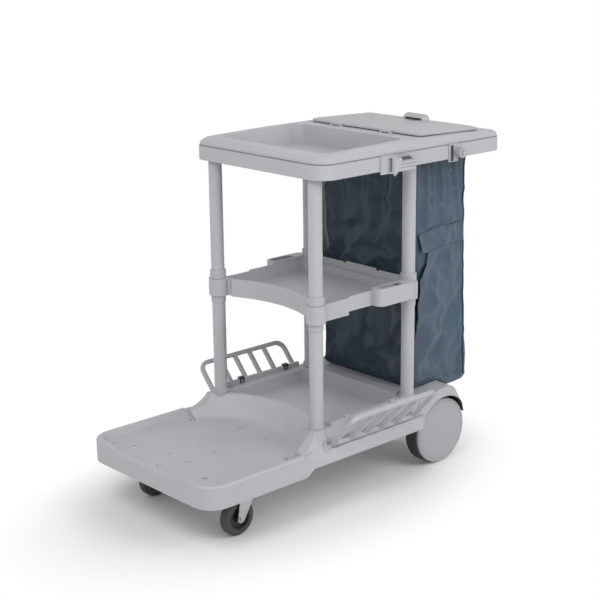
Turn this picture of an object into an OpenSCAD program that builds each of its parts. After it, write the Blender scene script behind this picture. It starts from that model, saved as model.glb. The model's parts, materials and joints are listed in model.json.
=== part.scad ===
// Janitor cart: moulded deck on rear wheels and swivel casters, round posts,
// a middle shelf, a top with tray and lidded waste bag, and fold-out side racks.
// +X points to the rear, -Y to the left side, +Z up; the floor is z = 0.

/* [Overall] */
// Length from the platform's front edge to the top's rear edge
cart_l = 1120; // [1090:5:1180]
// Width of the platform and of the top
cart_w = 530; // [516:2:560]

/* [Posts] */
// Outer diameter of the round posts
post_d = 38; // [34:1:40]
// Wall of the post tubes
post_wall = 3; // [1.5:0.5:5]
// Distance between front and rear posts
post_span = 358; // [346:2:370]
// Distance between left and right posts
post_track = 408; // [400:2:416]
// Distance from the top's rear edge to the rear posts
post_setback = 333; // [325:1:341]
// Outer diameter of the sockets that hold the posts
socket_d = 48; // [46:1:52]
// Height of the collar rings at the posts' feet
foot_collar_h = 10; // [6:1:16]
// Height of the collar rings above the shelf
shelf_collar_h = 24; // [14:1:32]
// Outer diameter of the collar rings
collar_d = 46; // [44:0.5:47]

/* [Deck] */
// Height of the deck's lower edge, where the casters bolt on
caster_h = 133; // [128:1:140]
// Height of the platform's outer wall
platform_h = 63; // [56:1:72]
// Depth of the platform floor below its rim
platform_lip = 20; // [12:1:26]
// How far the front rim dips in the middle
platform_dip = 14; // [6:1:18]
// Width of the dip in the front rim
platform_dip_w = 250; // [180:5:300]
// Corner radius of the platform
platform_corner_r = 60; // [40:1:80]
// Width of the platform's rim
rim_w = 15; // [10:1:20]
// Rise from the platform's rim to the side ledges
ledge_rise = 40; // [32:1:48]
// Length of the curved rise between them
rise_l = 63; // [54:1:72]
// Depth of the lower tray below the ledges
tray_depth = 36; // [28:1:40]
// Half width of the lower tray
tray_half_w = 190; // [180:1:196]
// Height of the lower tray's rear wall above the ledges
tray_back_h = 12; // [4:1:20]
// Width of the sloping margin around the platform floor
floor_margin = 26; // [16:1:34]
// Height of the rails along the ledges
ledge_rail_h = 13; // [9:1:16]
// Wall of the deck moulding
deck_wall = 5; // [3:0.5:7]
// Radius of the bucket recess at the platform floor
bucket_r = 262; // [250:2:272]
// How much the bucket recess widens up to the ledges
bucket_flare = 40; // [20:2:48]
// Distance from the front posts to the recess centre
bucket_setback = 245; // [238:1:252]
// Width of the ridge between bucket recess and lower tray
ridge_w = 14; // [10:1:20]
// Height of the skirt's lower edge above the platform's
skirt_rise = 18; // [8:1:22]
// How far the ledges' outer faces stand inside the platform's sides
skirt_inset = 35; // [30:1:40]
// Diameter of the drain holes
drain_d = 16; // [8:1:22]

/* [Rear wheels] */
// Diameter of the rear tyres
wheel_d = 203; // [190:1:210]
// Width of the rear tyres
tyre_w = 44; // [36:1:48]
// Thickness of the rear tyres' rubber
tyre_t = 15; // [10:1:20]
// Diameter of the flat hub caps
cap_d = 197; // [180:1:201]
// Distance between the hub caps' outer faces
wheel_track = 444; // [436:1:448]
// Distance from the top's rear edge to the wheel axle
wheel_setback = 201; // [190:1:206]
// Diameter of the rear axle
axle_d = 16; // [12:1:20]
// Radius of the arches over the rear wheels
arch_r = 106; // [106:1:109]
// Height of the fenders above the axle
fender_rise = 141; // [139:1:146]

/* [Casters] */
// Diameter of the caster wheels
caster_d = 100; // [90:1:102]
// Width of the caster tyres
caster_w = 28; // [22:1:30]
// Distance between the two casters
caster_track = 358; // [340:2:372]
// Distance from the platform's front edge to the swivel axis
caster_setback = 182; // [170:1:200]
// Offset of the caster axle from the swivel axis
caster_trail = 22; // [18:1:34]
// Diameter of the kingpins
kingpin_d = 12; // [8:1:14]
// Diameter of the caster axle bolts
caster_axle_d = 8; // [6:1:10]

/* [Side racks] */
// Length of each rack
rack_l = 336; // [316:2:344]
// Height of each rack above its hinge
rack_h = 140; // [120:1:148]
// Thickness of the rack frames
rack_t = 12; // [8:1:12]
// Width of the rack bars
rack_bar = 11; // [8:1:14]
// Spacing of the inner bars
rack_pitch = 58; // [50:1:60]
// Angle at which the racks stand open
rack_tilt = 41; // [30:1:45]
// Height of the rack hinges above the deck's lower edge
rack_hinge_rise = 52; // [50:1:58]
// Diameter of the rack hinge pins
rack_pin_d = 8; // [5:0.5:9]

/* [Middle shelf] */
// Height of the shelf's rim above the floor
shelf_z = 582; // [540:2:640]
// Height of the shelf's walls
shelf_h = 42; // [34:1:50]
// Wall of the shelf moulding
shelf_wall = 4; // [2.5:0.5:6]
// Outer diameter of the shelf's post sockets
shelf_socket_d = 54; // [50:1:56]
// How far the front wall bows to the rear
shelf_bow = 53; // [30:1:64]
// Length of the bottle holders
bottle_l = 144; // [110:2:150]
// How far the bottle holders stand out
bottle_out = 38; // [28:1:44]
// Height of the bottle holders above the shelf's rim
bottle_rise = 8; // [2:1:12]

/* [Top] */
// Height of the top band's lower edge above the floor
top_z = 923; // [880:1:960]
// Length of the top
top_l = 724; // [716:1:732]
// Height of the band
band_h = 39; // [34:1:44]
// Wall of the band
band_wall = 6; // [4:0.5:8]
// Height of the crowned tray above the band
crown_h = 18; // [14:1:22]
// Rise of the crown's long arch above its front and rear
arch_h = 8; // [4:1:10]
// Corner radius of the top
top_corner_r = 50; // [40:1:60]
// Wall of the tray moulding
top_wall = 3.5; // [2.5:0.5:4]
// Width of the pocket
pocket_w = 430; // [400:2:440]
// Depth of the pocket
pocket_depth = 47; // [38:1:49]

/* [Lid] */
// Length of the lid
lid_l = 255; // [246:1:262]
// Width of the lid
lid_w = 444; // [430:2:456]
// Thickness of the lid's edge
lid_edge = 5; // [3:0.5:7]
// Crown of the lid above its edge
lid_crown = 4; // [2:0.5:7]
// Spacing of the two lid hinges
lid_hinge_track = 200; // [160:2:260]
// Diameter of the lid hinge pins
lid_pin_d = 5; // [3:0.5:6]
// How many degrees the closed lid falls towards the rear
lid_fall = 1.9; // [1:0.1:2.2]
// Length of the grip
grip_l = 94; // [80:1:120]
// Height of the grip above the lid
grip_h = 18; // [16:1:22]

/* [Bag] */
// Length of the bag opening in the top
bag_mouth_l = 224; // [210:1:230]
// Width of the bag opening in the top
bag_mouth_w = 372; // [350:2:376]
// Height of the bag's bottom above the floor
bag_bottom_z = 222; // [214:1:230]
// Thickness of the bag's wall
bag_t = 3; // [2:0.5:5]
// Diameter of the rails that carry the bag
rail_d = 8; // [6:0.5:10]

/* [Tool clips] */
// Distance from the top's front edge to the swinging clip's pin
clip_setback = 252; // [240:2:270]
// Length of the swinging arm
clip_arm_l = 74; // [56:1:84]
// Height of the swinging arm
clip_arm_h = 36; // [24:1:40]
// Distance from the top's front edge to the roller's centre
roller_setback = 516; // [500:2:540]
// Diameter of the roller
roller_d = 30; // [22:1:34]

/* [Hidden] */
$fn = 72;

// Sides of the cart
left = -1;
right = 1;

// Colours of the finishes
grey = "#b9babc";
cap_grey = "#a9aaad";
black = "#1c1d1f";
zinc = "#c9cbce";
nylon = "#4c5a68";

// Clearances
bore_gap = 0.05;
run_gap = 0.3;
past = 1;

// Lengthwise places
front_x = -cart_l / 2;
rear_x = cart_l / 2;
post_rear_x = rear_x - post_setback;
post_front_x = post_rear_x - post_span;
wheel_x = rear_x - wheel_setback;
bucket_x = post_front_x - bucket_setback;
caster_x = front_x + caster_setback;
rise_x = post_front_x - 97;
rack_x = (post_front_x + post_rear_x) / 2 + 4;
socket_cover = 5;
top_front_x = min(rear_x - top_l, post_front_x - socket_d / 2 - socket_cover);

// Heights
rim_z = caster_h + platform_h;
floor_z = rim_z - platform_lip;
ledge_z = rim_z + ledge_rise;
tray_z = ledge_z - tray_depth;
skirt_z = caster_h + skirt_rise;
rack_hinge_z = caster_h + rack_hinge_rise;
wheel_z = wheel_d / 2;
shelf_floor_z = shelf_z - shelf_h;
seam_z = top_z + band_h;
crown_z = seam_z + crown_h;
pocket_z = crown_z - pocket_depth;

// Half widths and radii
half_w = cart_w / 2;
half_track = post_track / 2;
ledge_half_w = half_w - skirt_inset;
post_r = post_d / 2;
post_bore_r = post_r + bore_gap;
socket_r = socket_d / 2;
axle_r = axle_d / 2;
rack_pin_r = rack_pin_d / 2;

// Deck
bucket_top_r = bucket_r + bucket_flare;
drain_x = bucket_x + bucket_r - 66;
drain_run = drain_x - front_x - 35;
rise_r = (rise_l * rise_l + ledge_rise * ledge_rise) / (2 * ledge_rise);
skirt_lip = 5;
step_x = rise_x + 6;
step_l = 26;
blend_l = 50;
platform_edge_r = 4;
tray_back_x = post_rear_x - socket_r - 6;
tray_corner_r = 22;
tray_back_half = half_track - collar_d / 2 - run_gap;
fender_top_z = wheel_z + fender_rise;
bag_deck_z = fender_top_z;
bag_deck_end_x = wheel_x + 28;
well_wall_y = wheel_track / 2 - tyre_w - 26;
fender_y = wheel_track / 2 + 14;
fender_tail = 73;
post_seat_z = ledge_z - 30;
axle_rib_y = well_wall_y - 16;
axle_rib_t = 12;
caster_pad_l = 98;
caster_pad_w = 92;
rail_t = 8;
rail_end = 8;
rail_clip_x = 88;
rail_clip_l = 18;
rail_clip_t = 1.8;
rack_hinge_y = ledge_half_w + 9.5;
rack_rail_r = rack_pin_r + 4;
ear_t = 10;
ear_x = rack_x - rack_l / 2 - run_gap - ear_t;
ear_end_x = rack_x + rack_l / 2 + run_gap + ear_t;
hinge_lip_y = rack_hinge_y + rack_rail_r + 0.9;
thumb_r = 24;

// Posts
shelf_web = 4;
shelf_seat_z = shelf_z - 26;
shelf_socket_r = shelf_socket_d / 2;
socket_drop = 50;
sleeve_h = 20;
top_seat_z = seam_z - 9;

// Top
groove_in = 6;
groove_h = 3;
crown_shoulder = 2.5;
crown_flat_in = 28;
pocket_gap = 1.5;
pocket_x = post_front_x + socket_r + pocket_gap + top_wall;
pocket_end_x = post_rear_x - socket_r - pocket_gap - top_wall;
pocket_corner_r = 30;
arch_x = pocket_end_x - 38;
hinge_x = pocket_end_x + 44;
lid_gap = 3;
lid_x = hinge_x + 5.6;
lid_skin = lid_edge - 1;
hinge_r = lid_pin_d / 2 + 2.5;
hinge_z = arch_z(hinge_x) + run_gap + hinge_r;
lid_z = arch_z(hinge_x) + lid_gap;
lid_top_z = lid_z + lid_edge + lid_crown;
knuckle_l = 26;
ear_l = 9;
bag_mouth_x = hinge_x + 18;
bag_mouth_r = 8;
bag_frame_z = seam_z - 18;
bag_rim_z = crown_z + 4.5;
rail_y = bag_mouth_w / 2 + 10;
rail_z = bag_frame_z - 3;
rail_lug = 12;
lug_reach = 20;

// Rear wheels, measured outwards from the middle of the cart
cap_y = wheel_track / 2;
cap_t = 2.5;
tyre_out_y = cap_y - 9.5;
tyre_in_y = tyre_out_y - tyre_w;
rim_r = wheel_d / 2 - tyre_t;
hub_r = axle_r + 13;
hub_in_y = tyre_in_y - 3;
hub_out_y = tyre_out_y + 1.5;

// Casters, measured up from the floor
plate_t = 3;
plate_l = 92;
plate_w = 82;
race_head_h = 6;
race_h = 3.5;
fork_top_z = caster_h - plate_t - race_head_h - race_h - run_gap;
fork_disc_t = 6;
fork_t = 3;
fork_half = caster_w / 2 + 3.5;
kingpin_r = kingpin_d / 2;
caster_axle_r = caster_axle_d / 2;
caster_r = caster_d / 2;
caster_hub_r = caster_r - 17;

// Tool clips on the left side of the band
clip_x = top_front_x + clip_setback;
roller_x = top_front_x + roller_setback;
bracket_t = 5;
clip_pin_d = 6;
clip_pin_r = clip_pin_d / 2;
clip_y = half_w + 16;
clip_z = top_z - 8;
clip_ear_t = 5;
clip_barrel_r = 8;
roller_pin_r = 3;
roller_l = 20;

// Plan area symmetric about the X axis with round front and rear corners
module plan(x0, x1, half, front_r, rear_r) {
    translate([x0 + front_r, -half]) square([x1 - rear_r - x0 - front_r, 2 * half]);
    translate([x0, front_r - half]) square([front_r + past, 2 * (half - front_r)]);
    translate([x1 - rear_r - past, rear_r - half]) square([rear_r + past, 2 * (half - rear_r)]);
    for (s = [left, right]) {
        translate([x0 + front_r, s * (half - front_r)]) circle(front_r);
        translate([x1 - rear_r, s * (half - rear_r)]) circle(rear_r);
    }
}

// Slab of that plan area between two heights
module slab(z0, z1, x0, x1, half, front_r, rear_r) {
    translate([0, 0, z0]) linear_extrude(z1 - z0) plan(x0, x1, half, front_r, rear_r);
}

// Section in the YZ plane drawn out along X
module along_x(x0, x1) {
    translate([x0, 0, 0]) rotate([90, 0, 90]) linear_extrude(x1 - x0) children();
}

// Round bar along X, Y or Z between two places
module bar_x(x0, x1, y, z, r) {
    translate([x0, y, z]) rotate([0, 90, 0]) cylinder(r = r, h = x1 - x0);
}

module bar_y(y0, y1, x, z, r) {
    translate([x, y0, z]) rotate([-90, 0, 0]) cylinder(r = r, h = y1 - y0);
}

module bar_z(z0, z1, x, y, r) {
    translate([x, y, z0]) cylinder(r = r, h = z1 - z0);
}

module box(x0, x1, y0, y1, z0, z1) {
    translate([x0, y0, z0]) cube([x1 - x0, y1 - y0, z1 - z0]);
}

// Box from a distance y0 to y1 out of the middle, on one side
module side_box(s, x0, x1, y0, y1, z0, z1) {
    box(x0, x1, min(s * y0, s * y1), max(s * y0, s * y1), z0, z1);
}

module at_posts() {
    for (x = [post_front_x, post_rear_x])
        for (s = [left, right])
            translate([x, s * half_track, 0]) children();
}

module ring(z0, z1, r_out, r_in) {
    translate([0, 0, z0]) difference() {
        cylinder(r = r_out, h = z1 - z0);
        translate([0, 0, -past]) cylinder(r = r_in, h = z1 - z0 + 2 * past);
    }
}

// Deck: outer form of the platform with a softened rim
module platform_form() {
    hull($fn = 32) {
        slab(caster_h, rim_z - platform_edge_r, front_x, rise_x, half_w, platform_corner_r, 1);
        slab(rim_z - platform_edge_r, rim_z, front_x + platform_edge_r, rise_x, half_w - platform_edge_r,
             platform_corner_r - platform_edge_r, 1);
    }
}

// Section of skirts and ledges, as wide as the given inset leaves it
module skirt_section(inset, bottom, top, slope_end) {
    low = half_w - inset;
    high = ledge_half_w - inset;
    slope_z = skirt_z + skirt_lip;
    polygon([[-low, bottom], [low, bottom], [low, slope_z], [high, slope_end], [high, top],
             [-high, top], [-high, slope_end], [-low, slope_z]]);
}

// Body behind the platform: a full slope up to the racks, a recess for each rack behind it,
// the curved rise at its front and a thumb scoop before each rack
module body_form() {
    difference() {
        union() {
            along_x(rise_x, ear_x) skirt_section(0, skirt_z, ledge_z, ledge_z - skirt_lip);
            along_x(ear_x - past, wheel_x - 40)
                skirt_section(0, skirt_z, ledge_z, rack_hinge_z - skirt_lip);
            for (s = [left, right]) hinge_lip(s);
        }
        bar_y(-half_w - past, half_w + past, rise_x, rim_z + rise_r, rise_r);
        for (s = [left, right]) intersection() {
            translate([ear_x - thumb_r / 3, s * (half_w - 3), rim_z + 4]) sphere(thumb_r, $fn = 40);
            side_box(s, ear_x - 2 * thumb_r, ear_x, ledge_half_w, half_w, skirt_z, ledge_z);
        }
    }
}

// Blend from the platform's upright side to the sloping skirt, with a slanted step below
module side_blend() {
    difference() {
        hull() {
            box(rise_x - past, rise_x, -half_w, half_w, caster_h, rim_z - platform_edge_r);
            along_x(rise_x + blend_l - past, rise_x + blend_l)
                polygon([[-half_w, caster_h], [half_w, caster_h], [half_w, skirt_z + skirt_lip],
                         [half_w - 0.55 * skirt_inset, rim_z], [0.55 * skirt_inset - half_w, rim_z],
                         [-half_w, skirt_z + skirt_lip]]);
        }
        translate([0, half_w + past, 0]) rotate([90, 0, 0]) linear_extrude(cart_w + 2 * past)
            polygon([[step_x, caster_h - past], [rise_x + 2 * blend_l, caster_h - past],
                     [rise_x + 2 * blend_l, skirt_z], [step_x + step_l, skirt_z], [step_x, caster_h]]);
    }
}

// Lip on the skirt that covers a rack's hinge rail from outside
module hinge_lip(s) {
    along_x(ear_x, ear_end_x)
        polygon([[s * half_w, skirt_z + skirt_lip], [s * (hinge_lip_y + 4), rack_hinge_z - 1],
                 [s * hinge_lip_y, rack_hinge_z - 1], [s * hinge_lip_y, skirt_z + skirt_lip]]);
}

// Rail along the outer edge of one ledge
module ledge_rail(s, grow) {
    side_box(s, post_front_x + socket_r + rail_end, post_rear_x - socket_r - rail_end,
             ledge_half_w - rail_t - grow,
             ledge_half_w + grow, ledge_z - past, ledge_z + ledge_rail_h + grow);
}

// Fender over one rear wheel: a high shoulder with a short tail behind it
module fender_form(s) {
    y0 = min(s * well_wall_y, s * fender_y);
    y1 = max(s * well_wall_y, s * fender_y);
    crest_r = 43;
    tail_r = 36;
    hull($fn = 48) {
        bar_y(y0, y1, wheel_x + 7, fender_top_z - crest_r, crest_r);
        bar_y(y0, y1, wheel_x + fender_tail - tail_r, fender_top_z - crest_r - tail_r, tail_r);
        bar_y(y0, y1, wheel_x - 80, ledge_z - 6 - tail_r, tail_r);
    }
}

// Dish of the platform with sloping margins, and the riser behind it
module bucket_cut() {
    hull($fn = 32) {
        dish(floor_z, rim_w + floor_margin);
        dish(floor_z + platform_lip / 5, rim_w + floor_margin / 3);
        dish(rim_z + past, rim_w);
    }
    slab(rim_z, ledge_z + past, front_x + rim_w, rise_x, half_w - rim_w, platform_corner_r - rim_w, 4);
    intersection() {
        translate([bucket_x, 0, 0]) rotate_extrude($fn = 144)
            polygon([[0, floor_z], [bucket_r - 14, floor_z], [bucket_r - 6, floor_z + 2],
                     [bucket_r, floor_z + 7],
                     [bucket_top_r, ledge_z + 0.01], [0, ledge_z + 0.01]]);
        box(rise_x - past, post_rear_x, -half_w, half_w, floor_z, ledge_z + past);
    }
    along_x(front_x - past, front_x + rim_w + floor_margin)
        polygon([[-platform_dip_w / 2 - 35, rim_z + past], [-platform_dip_w / 2, rim_z - platform_dip],
                 [platform_dip_w / 2, rim_z - platform_dip], [platform_dip_w / 2 + 35, rim_z + past]]);
}

module dish(z, inset) {
    slab(z, z + 0.1, front_x + inset, rise_x, half_w - inset, platform_corner_r - rim_w, 4);
}

// Lower tray between the posts, its front wall parallel to the riser
module lower_tray_cut() {
    translate([0, 0, tray_z]) linear_extrude(tray_depth + tray_back_h + past) difference() {
        plan(post_front_x - socket_r, tray_back_x, tray_half_w, tray_corner_r, tray_corner_r);
        translate([bucket_x, 0]) circle(bucket_top_r + ridge_w, $fn = 144);
    }
}

// Hollows under the deck
module underside_cut() {
    slab(0, floor_z - deck_wall, front_x + deck_wall, rise_x + past, half_w - deck_wall,
         platform_corner_r - deck_wall, 10);
    along_x(rise_x, wheel_x - arch_r)
        skirt_section(deck_wall, 0, floor_z - deck_wall, rack_hinge_z - skirt_lip);
    box(bucket_x + bucket_top_r + ridge_w, wheel_x - arch_r, -tray_half_w, tray_half_w, 0,
        tray_z - deck_wall);
    box(wheel_x - arch_r - past, wheel_x - 40 - deck_wall, -axle_rib_y, axle_rib_y, 0,
        tray_z - deck_wall);
    for (s = [left, right])
        side_box(s, post_front_x + socket_r, post_rear_x - socket_r, tray_half_w + deck_wall,
                 ledge_half_w - deck_wall, 0, ledge_z - deck_wall);
}

module base_deck() color(grey) difference() {
    union() {
        difference() {
            union() {
                platform_form();
                side_blend();
                body_form();
                box(tray_back_x, post_rear_x + deck_wall, -tray_back_half, tray_back_half, skirt_z + 20,
                    ledge_z + tray_back_h);
                box(post_rear_x, bag_deck_end_x, -well_wall_y - deck_wall, well_wall_y + deck_wall,
                    bag_deck_z - 2 * deck_wall, bag_deck_z);
                fender_form(left);
                fender_form(right);
            }
            bucket_cut();
            lower_tray_cut();
            underside_cut();
            for (s = [left, right])
                bar_y(s < 0 ? -half_w - past : well_wall_y + deck_wall,
                      s < 0 ? -well_wall_y - deck_wall : half_w + past, wheel_x - 3, wheel_z + 4, arch_r);
        }
        at_posts() bar_z(tray_z - deck_wall, ledge_z, 0, 0, socket_r);
        for (s = [left, right]) {
            box(caster_x - caster_pad_l / 2, caster_x + caster_pad_l / 2,
                s * caster_track / 2 - caster_pad_w / 2,
                s * caster_track / 2 + caster_pad_w / 2, caster_h, floor_z - deck_wall);
            side_box(s, wheel_x - 28, wheel_x + 28, axle_rib_y, axle_rib_y + axle_rib_t, wheel_z - 18,
                     bag_deck_z - deck_wall);
            ledge_rail(s, 0);
            rack_ear(s, ear_x + ear_t / 2);
            rack_ear(s, ear_end_x - ear_t / 2);
        }
    }
    at_posts() bar_z(post_seat_z, ledge_z + past, 0, 0, post_bore_r);
    bar_y(-axle_rib_y - axle_rib_t - past, axle_rib_y + axle_rib_t + past, wheel_x, wheel_z,
          axle_r + bore_gap);
    for (s = [left, right])
        bar_x(rack_x - rack_l / 2 - ear_t - 2 * past, rack_x + rack_l / 2 + ear_t + 2 * past,
              s * rack_hinge_y,
              rack_hinge_z, rack_pin_r + bore_gap);
    at_bolts() bar_z(caster_h - past, floor_z - deck_wall - 6, 0, 0, bolt_r + bore_gap);
    drain_holes();
}

// Clips on the ledge rails, which a closed rack leans on
module rail_clips() color(black) for (s = [left, right]) for (i = [-1, 1]) {
    x = rack_x + i * rail_clip_x;
    difference() {
        side_box(s, x - rail_clip_l / 2, x + rail_clip_l / 2, ledge_half_w - rail_t - rail_clip_t,
                 ledge_half_w + rail_clip_t, ledge_z, ledge_z + ledge_rail_h + 3 * rail_clip_t);
        ledge_rail(s, bore_gap);
        side_box(s, x - rail_clip_l, x + rail_clip_l, ledge_half_w - bore_gap, half_w, ledge_z - past,
                 ledge_z + run_gap);
        bar_y(-half_w, half_w, x, ledge_z + ledge_rail_h / 2, rail_clip_l / 4);
    }
}

// Ear on the skirt that holds one end of a rack's hinge pin
module rack_ear(s, x) {
    bar_x(x - ear_t / 2, x + ear_t / 2, s * rack_hinge_y, rack_hinge_z, rack_rail_r);
    side_box(s, x - ear_t / 2, x + ear_t / 2, ledge_half_w - deck_wall, rack_hinge_y,
             rack_hinge_z - rack_rail_r, rack_hinge_z + rack_rail_r);
    side_box(s, x - ear_t / 2, x + ear_t / 2, rack_hinge_y, hinge_lip_y + past, skirt_z + skirt_lip,
             rack_hinge_z - 1);
}

// Drain holes through the platform floor and shallow dimples beside them, placed by
// their share of the run from the riser to the front rim and by their side distance
module drain_holes() {
    holes = [[0.01, 56], [0.18, 203], [0.88, 155]];
    dimples = [[0.5, 33], [0.78, 41], [0.98, 214]];
    for (s = [left, right]) {
        for (p = holes) drain(p[0], s * p[1], 2 * deck_wall);
        for (p = dimples) drain(p[0], s * p[1], deck_wall / 3);
    }
    drain(1, 0, 2 * deck_wall);
}

module drain(back, y, depth) {
    bar_z(floor_z - depth, floor_z + past, drain_x - back * drain_run, y, drain_d / 2);
}

module foot_collars() color(grey) at_posts()
    ring(ledge_z, ledge_z + foot_collar_h, collar_d / 2, post_bore_r);

module shelf_collars() color(grey) at_posts()
    ring(shelf_z, shelf_z + shelf_collar_h, collar_d / 2, post_bore_r);

// Post tube of one of the eight places
module post(x, s, z0, z1) {
    color(grey) translate([x, s * half_track, 0]) ring(z0, z1, post_r, post_r - post_wall);
}

module lower_post(x, s) { post(x, s, post_seat_z, shelf_seat_z - shelf_web); }

module upper_post(x, s) { post(x, s, shelf_seat_z, top_seat_z); }

// Shelf: plan between the posts, its front wall bowed to the rear with a dip beside each socket
module shelf_plan(inset) {
    chord = half_track - post_r;
    bow_r = (chord * chord + shelf_bow * shelf_bow) / (2 * shelf_bow);
    dip_r = 13;
    difference() {
        translate([post_front_x, inset - half_track - shelf_wall])
            square([post_span + post_r - inset, 2 * (half_track + shelf_wall - inset)]);
        translate([post_front_x + shelf_bow - bow_r, 0]) circle(bow_r + inset, $fn = 144);
        for (s = [left, right])
            translate([post_front_x + dip_r / 2, s * (half_track - shelf_socket_r - dip_r / 2)])
                circle(dip_r + inset);
    }
}

// Bottle holder on one side, with round outer corners
module bottle_area(s, inset) {
    x0 = post_rear_x - 5 - bottle_l + inset;
    x1 = post_rear_x - 5 - inset;
    out = half_track + bottle_out - inset;
    r = 20 - inset;
    intersection() {
        plan(x0, x1, out, r, r);
        translate([x0 - past, s > 0 ? half_track + inset : -out - past])
            square([x1 - x0 + 2 * past, out - half_track - inset + past]);
    }
}

// Long round hole in the top of a bottle holder
module bottle_hole(s) {
    x0 = post_rear_x - bottle_l + 4;
    r = bottle_out / 2 - shelf_wall - 1.5;
    translate([0, s * (half_track + bottle_out / 2)]) plan(x0, x0 + 86, r, r - 0.1, r - 0.1);
}

module middle_shelf() color(grey) difference() {
    union() {
        difference() {
            union() {
                translate([0, 0, shelf_floor_z]) linear_extrude(shelf_h) shelf_plan(0);
                translate([0, 0, shelf_floor_z - 10]) linear_extrude(10 + past) intersection() {
                    shelf_plan(0);
                    translate([post_front_x, -half_w]) square([post_span / 3, cart_w]);
                }
            }
            translate([0, 0, shelf_floor_z + shelf_wall]) linear_extrude(shelf_h) shelf_plan(shelf_wall);
            translate([0, 0, shelf_floor_z - 10 - past]) linear_extrude(10 + past) shelf_plan(shelf_wall);
            for (s = [left, right])
                side_box(s, post_front_x, post_front_x + post_span / 3, half_track - shelf_wall - past,
                         half_w,
                         shelf_z - 4, shelf_z + past);
        }
        rear_wall();
        for (s = [left, right])
            translate([0, 0, shelf_floor_z]) linear_extrude(shelf_h + bottle_rise) bottle_area(s, 0);
        at_posts() {
            bar_z(shelf_z - socket_drop, shelf_z, 0, 0, shelf_socket_r);
            bar_z(shelf_z - socket_drop - sleeve_h, shelf_z - socket_drop - 2, 0, 0, post_r + 1.8);
            bar_z(shelf_z - socket_drop - 3, shelf_z - socket_drop + past, 0, 0, post_r + 1);
        }
    }
    for (s = [left, right]) {
        translate([0, 0, shelf_floor_z + shelf_wall])
            linear_extrude(shelf_h + bottle_rise - 2 * shelf_wall) difference() {
                bottle_area(s, shelf_wall);
                translate([post_rear_x, s * half_track]) circle(shelf_socket_r);
            }
        translate([0, 0, shelf_z]) linear_extrude(bottle_rise + past) bottle_hole(s);
    }
    at_posts() {
        bar_z(shelf_z - socket_drop - sleeve_h - past, shelf_seat_z - shelf_web, 0, 0, post_bore_r);
        bar_z(shelf_seat_z, shelf_z + past, 0, 0, post_bore_r);
        bar_z(shelf_z, shelf_z + bottle_rise + past, 0, 0, collar_d / 2 + run_gap);
    }
}

// Rear wall of the shelf: a ledge inside and three raised stretches along its top
module rear_wall() {
    x1 = post_rear_x + post_r;
    box(x1 - 18, x1 - shelf_wall, -half_track, half_track, shelf_floor_z, shelf_z - 16);
    box(x1 - shelf_wall, x1, -62, 62, shelf_z - past, shelf_z + 7);
    for (s = [left, right])
        side_box(s, x1 - shelf_wall, x1, 72, half_track - shelf_socket_r, shelf_z - past, shelf_z + 3.5);
}

// Top: plan area of band and tray at an inset from the band's outer face
module top_slab(z0, z1, inset) {
    slab(z0, z1, top_front_x + inset, rear_x - inset, half_w - inset, top_corner_r - inset,
         top_corner_r - inset);
}

module top_frame() color(grey) difference() {
    union() {
        difference() {
            top_slab(top_z, seam_z, 0);
            top_slab(top_z - past, seam_z - 4, band_wall);
            top_slab(top_z, seam_z + past, band_wall + 18);
        }
        at_posts() bar_z(top_z, top_seat_z + 4, 0, 0, socket_r);
        for (x = [post_front_x, post_rear_x]) {
            box(x - 10, x + 10, -half_track, half_track, top_z, pocket_z - top_wall);
            for (s = [left, right])
                side_box(s, x - 4, x + 4, half_track, half_w - band_wall + past, top_z, seam_z - 4);
        }
    }
    at_posts() bar_z(top_z - past, top_seat_z, 0, 0, post_bore_r);
}

// Height of the crown's long arch, highest in front of the lid
function arch_z(x) = crown_z + arch_h - arch_h * pow((x - arch_x) / (arch_x - top_front_x), 2);

// Room below the arch, lowered by the given amount
module under_arch(drop) {
    ends = [top_front_x - past, rear_x + past];
    steps = 16;
    translate([0, half_w, 0]) rotate([90, 0, 0]) linear_extrude(cart_w)
        polygon(concat([[ends[1], top_z], [ends[0], top_z]],
                       [for (i = [0 : steps]) let (x = ends[0] + (ends[1] - ends[0]) * i / steps)
                           [x, arch_z(x) - drop]]));
}

// Crowned form of the tray, lowered and narrowed by one wall for its hollow
module crown_form(drop, inset) {
    intersection() {
        hull($fn = 32) {
            top_slab(seam_z + groove_h - drop, seam_z + groove_h + crown_h / 3 - drop,
                     crown_shoulder + inset);
            top_slab(crown_z + arch_h - drop, crown_z + arch_h + past - drop, crown_flat_in + inset);
        }
        under_arch(drop);
    }
}

module bag_mouth(z0, z1, grow) {
    slab(z0, z1, bag_mouth_x - grow, bag_mouth_x + bag_mouth_l + grow, bag_mouth_w / 2 + grow,
         bag_mouth_r + grow,
         bag_mouth_r + grow);
}

module pocket(z0, z1, grow) {
    slab(z0, z1, pocket_x - grow, pocket_end_x + grow, pocket_w / 2 + grow, pocket_corner_r + grow,
         pocket_corner_r + grow);
}

module top_tray() color(grey) difference() {
    union() {
        difference() {
            union() {
                crown_form(0, 0);
                top_slab(seam_z, seam_z + groove_h + past, groove_in);
            }
            crown_form(top_wall, groove_in + top_wall + past - crown_shoulder);
            top_slab(seam_z - past, seam_z + groove_h + past, groove_in + top_wall);
        }
        intersection() {
            pocket(pocket_z - top_wall, crown_z + 2 * arch_h, top_wall);
            under_arch(past);
        }
        for (s = [left, right]) for (i = [-1, 1])
            hinge_ear(s * lid_hinge_track / 2 + i * (knuckle_l / 2 + run_gap + ear_l / 2));
    }
    pocket(pocket_z, crown_z + 2 * arch_h, 0);
    bag_mouth(seam_z, lid_top_z + arch_h, top_wall + bore_gap);
    bar_y(-lid_w / 2, lid_w / 2, hinge_x, hinge_z, lid_pin_d / 2 + bore_gap);
}

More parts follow.
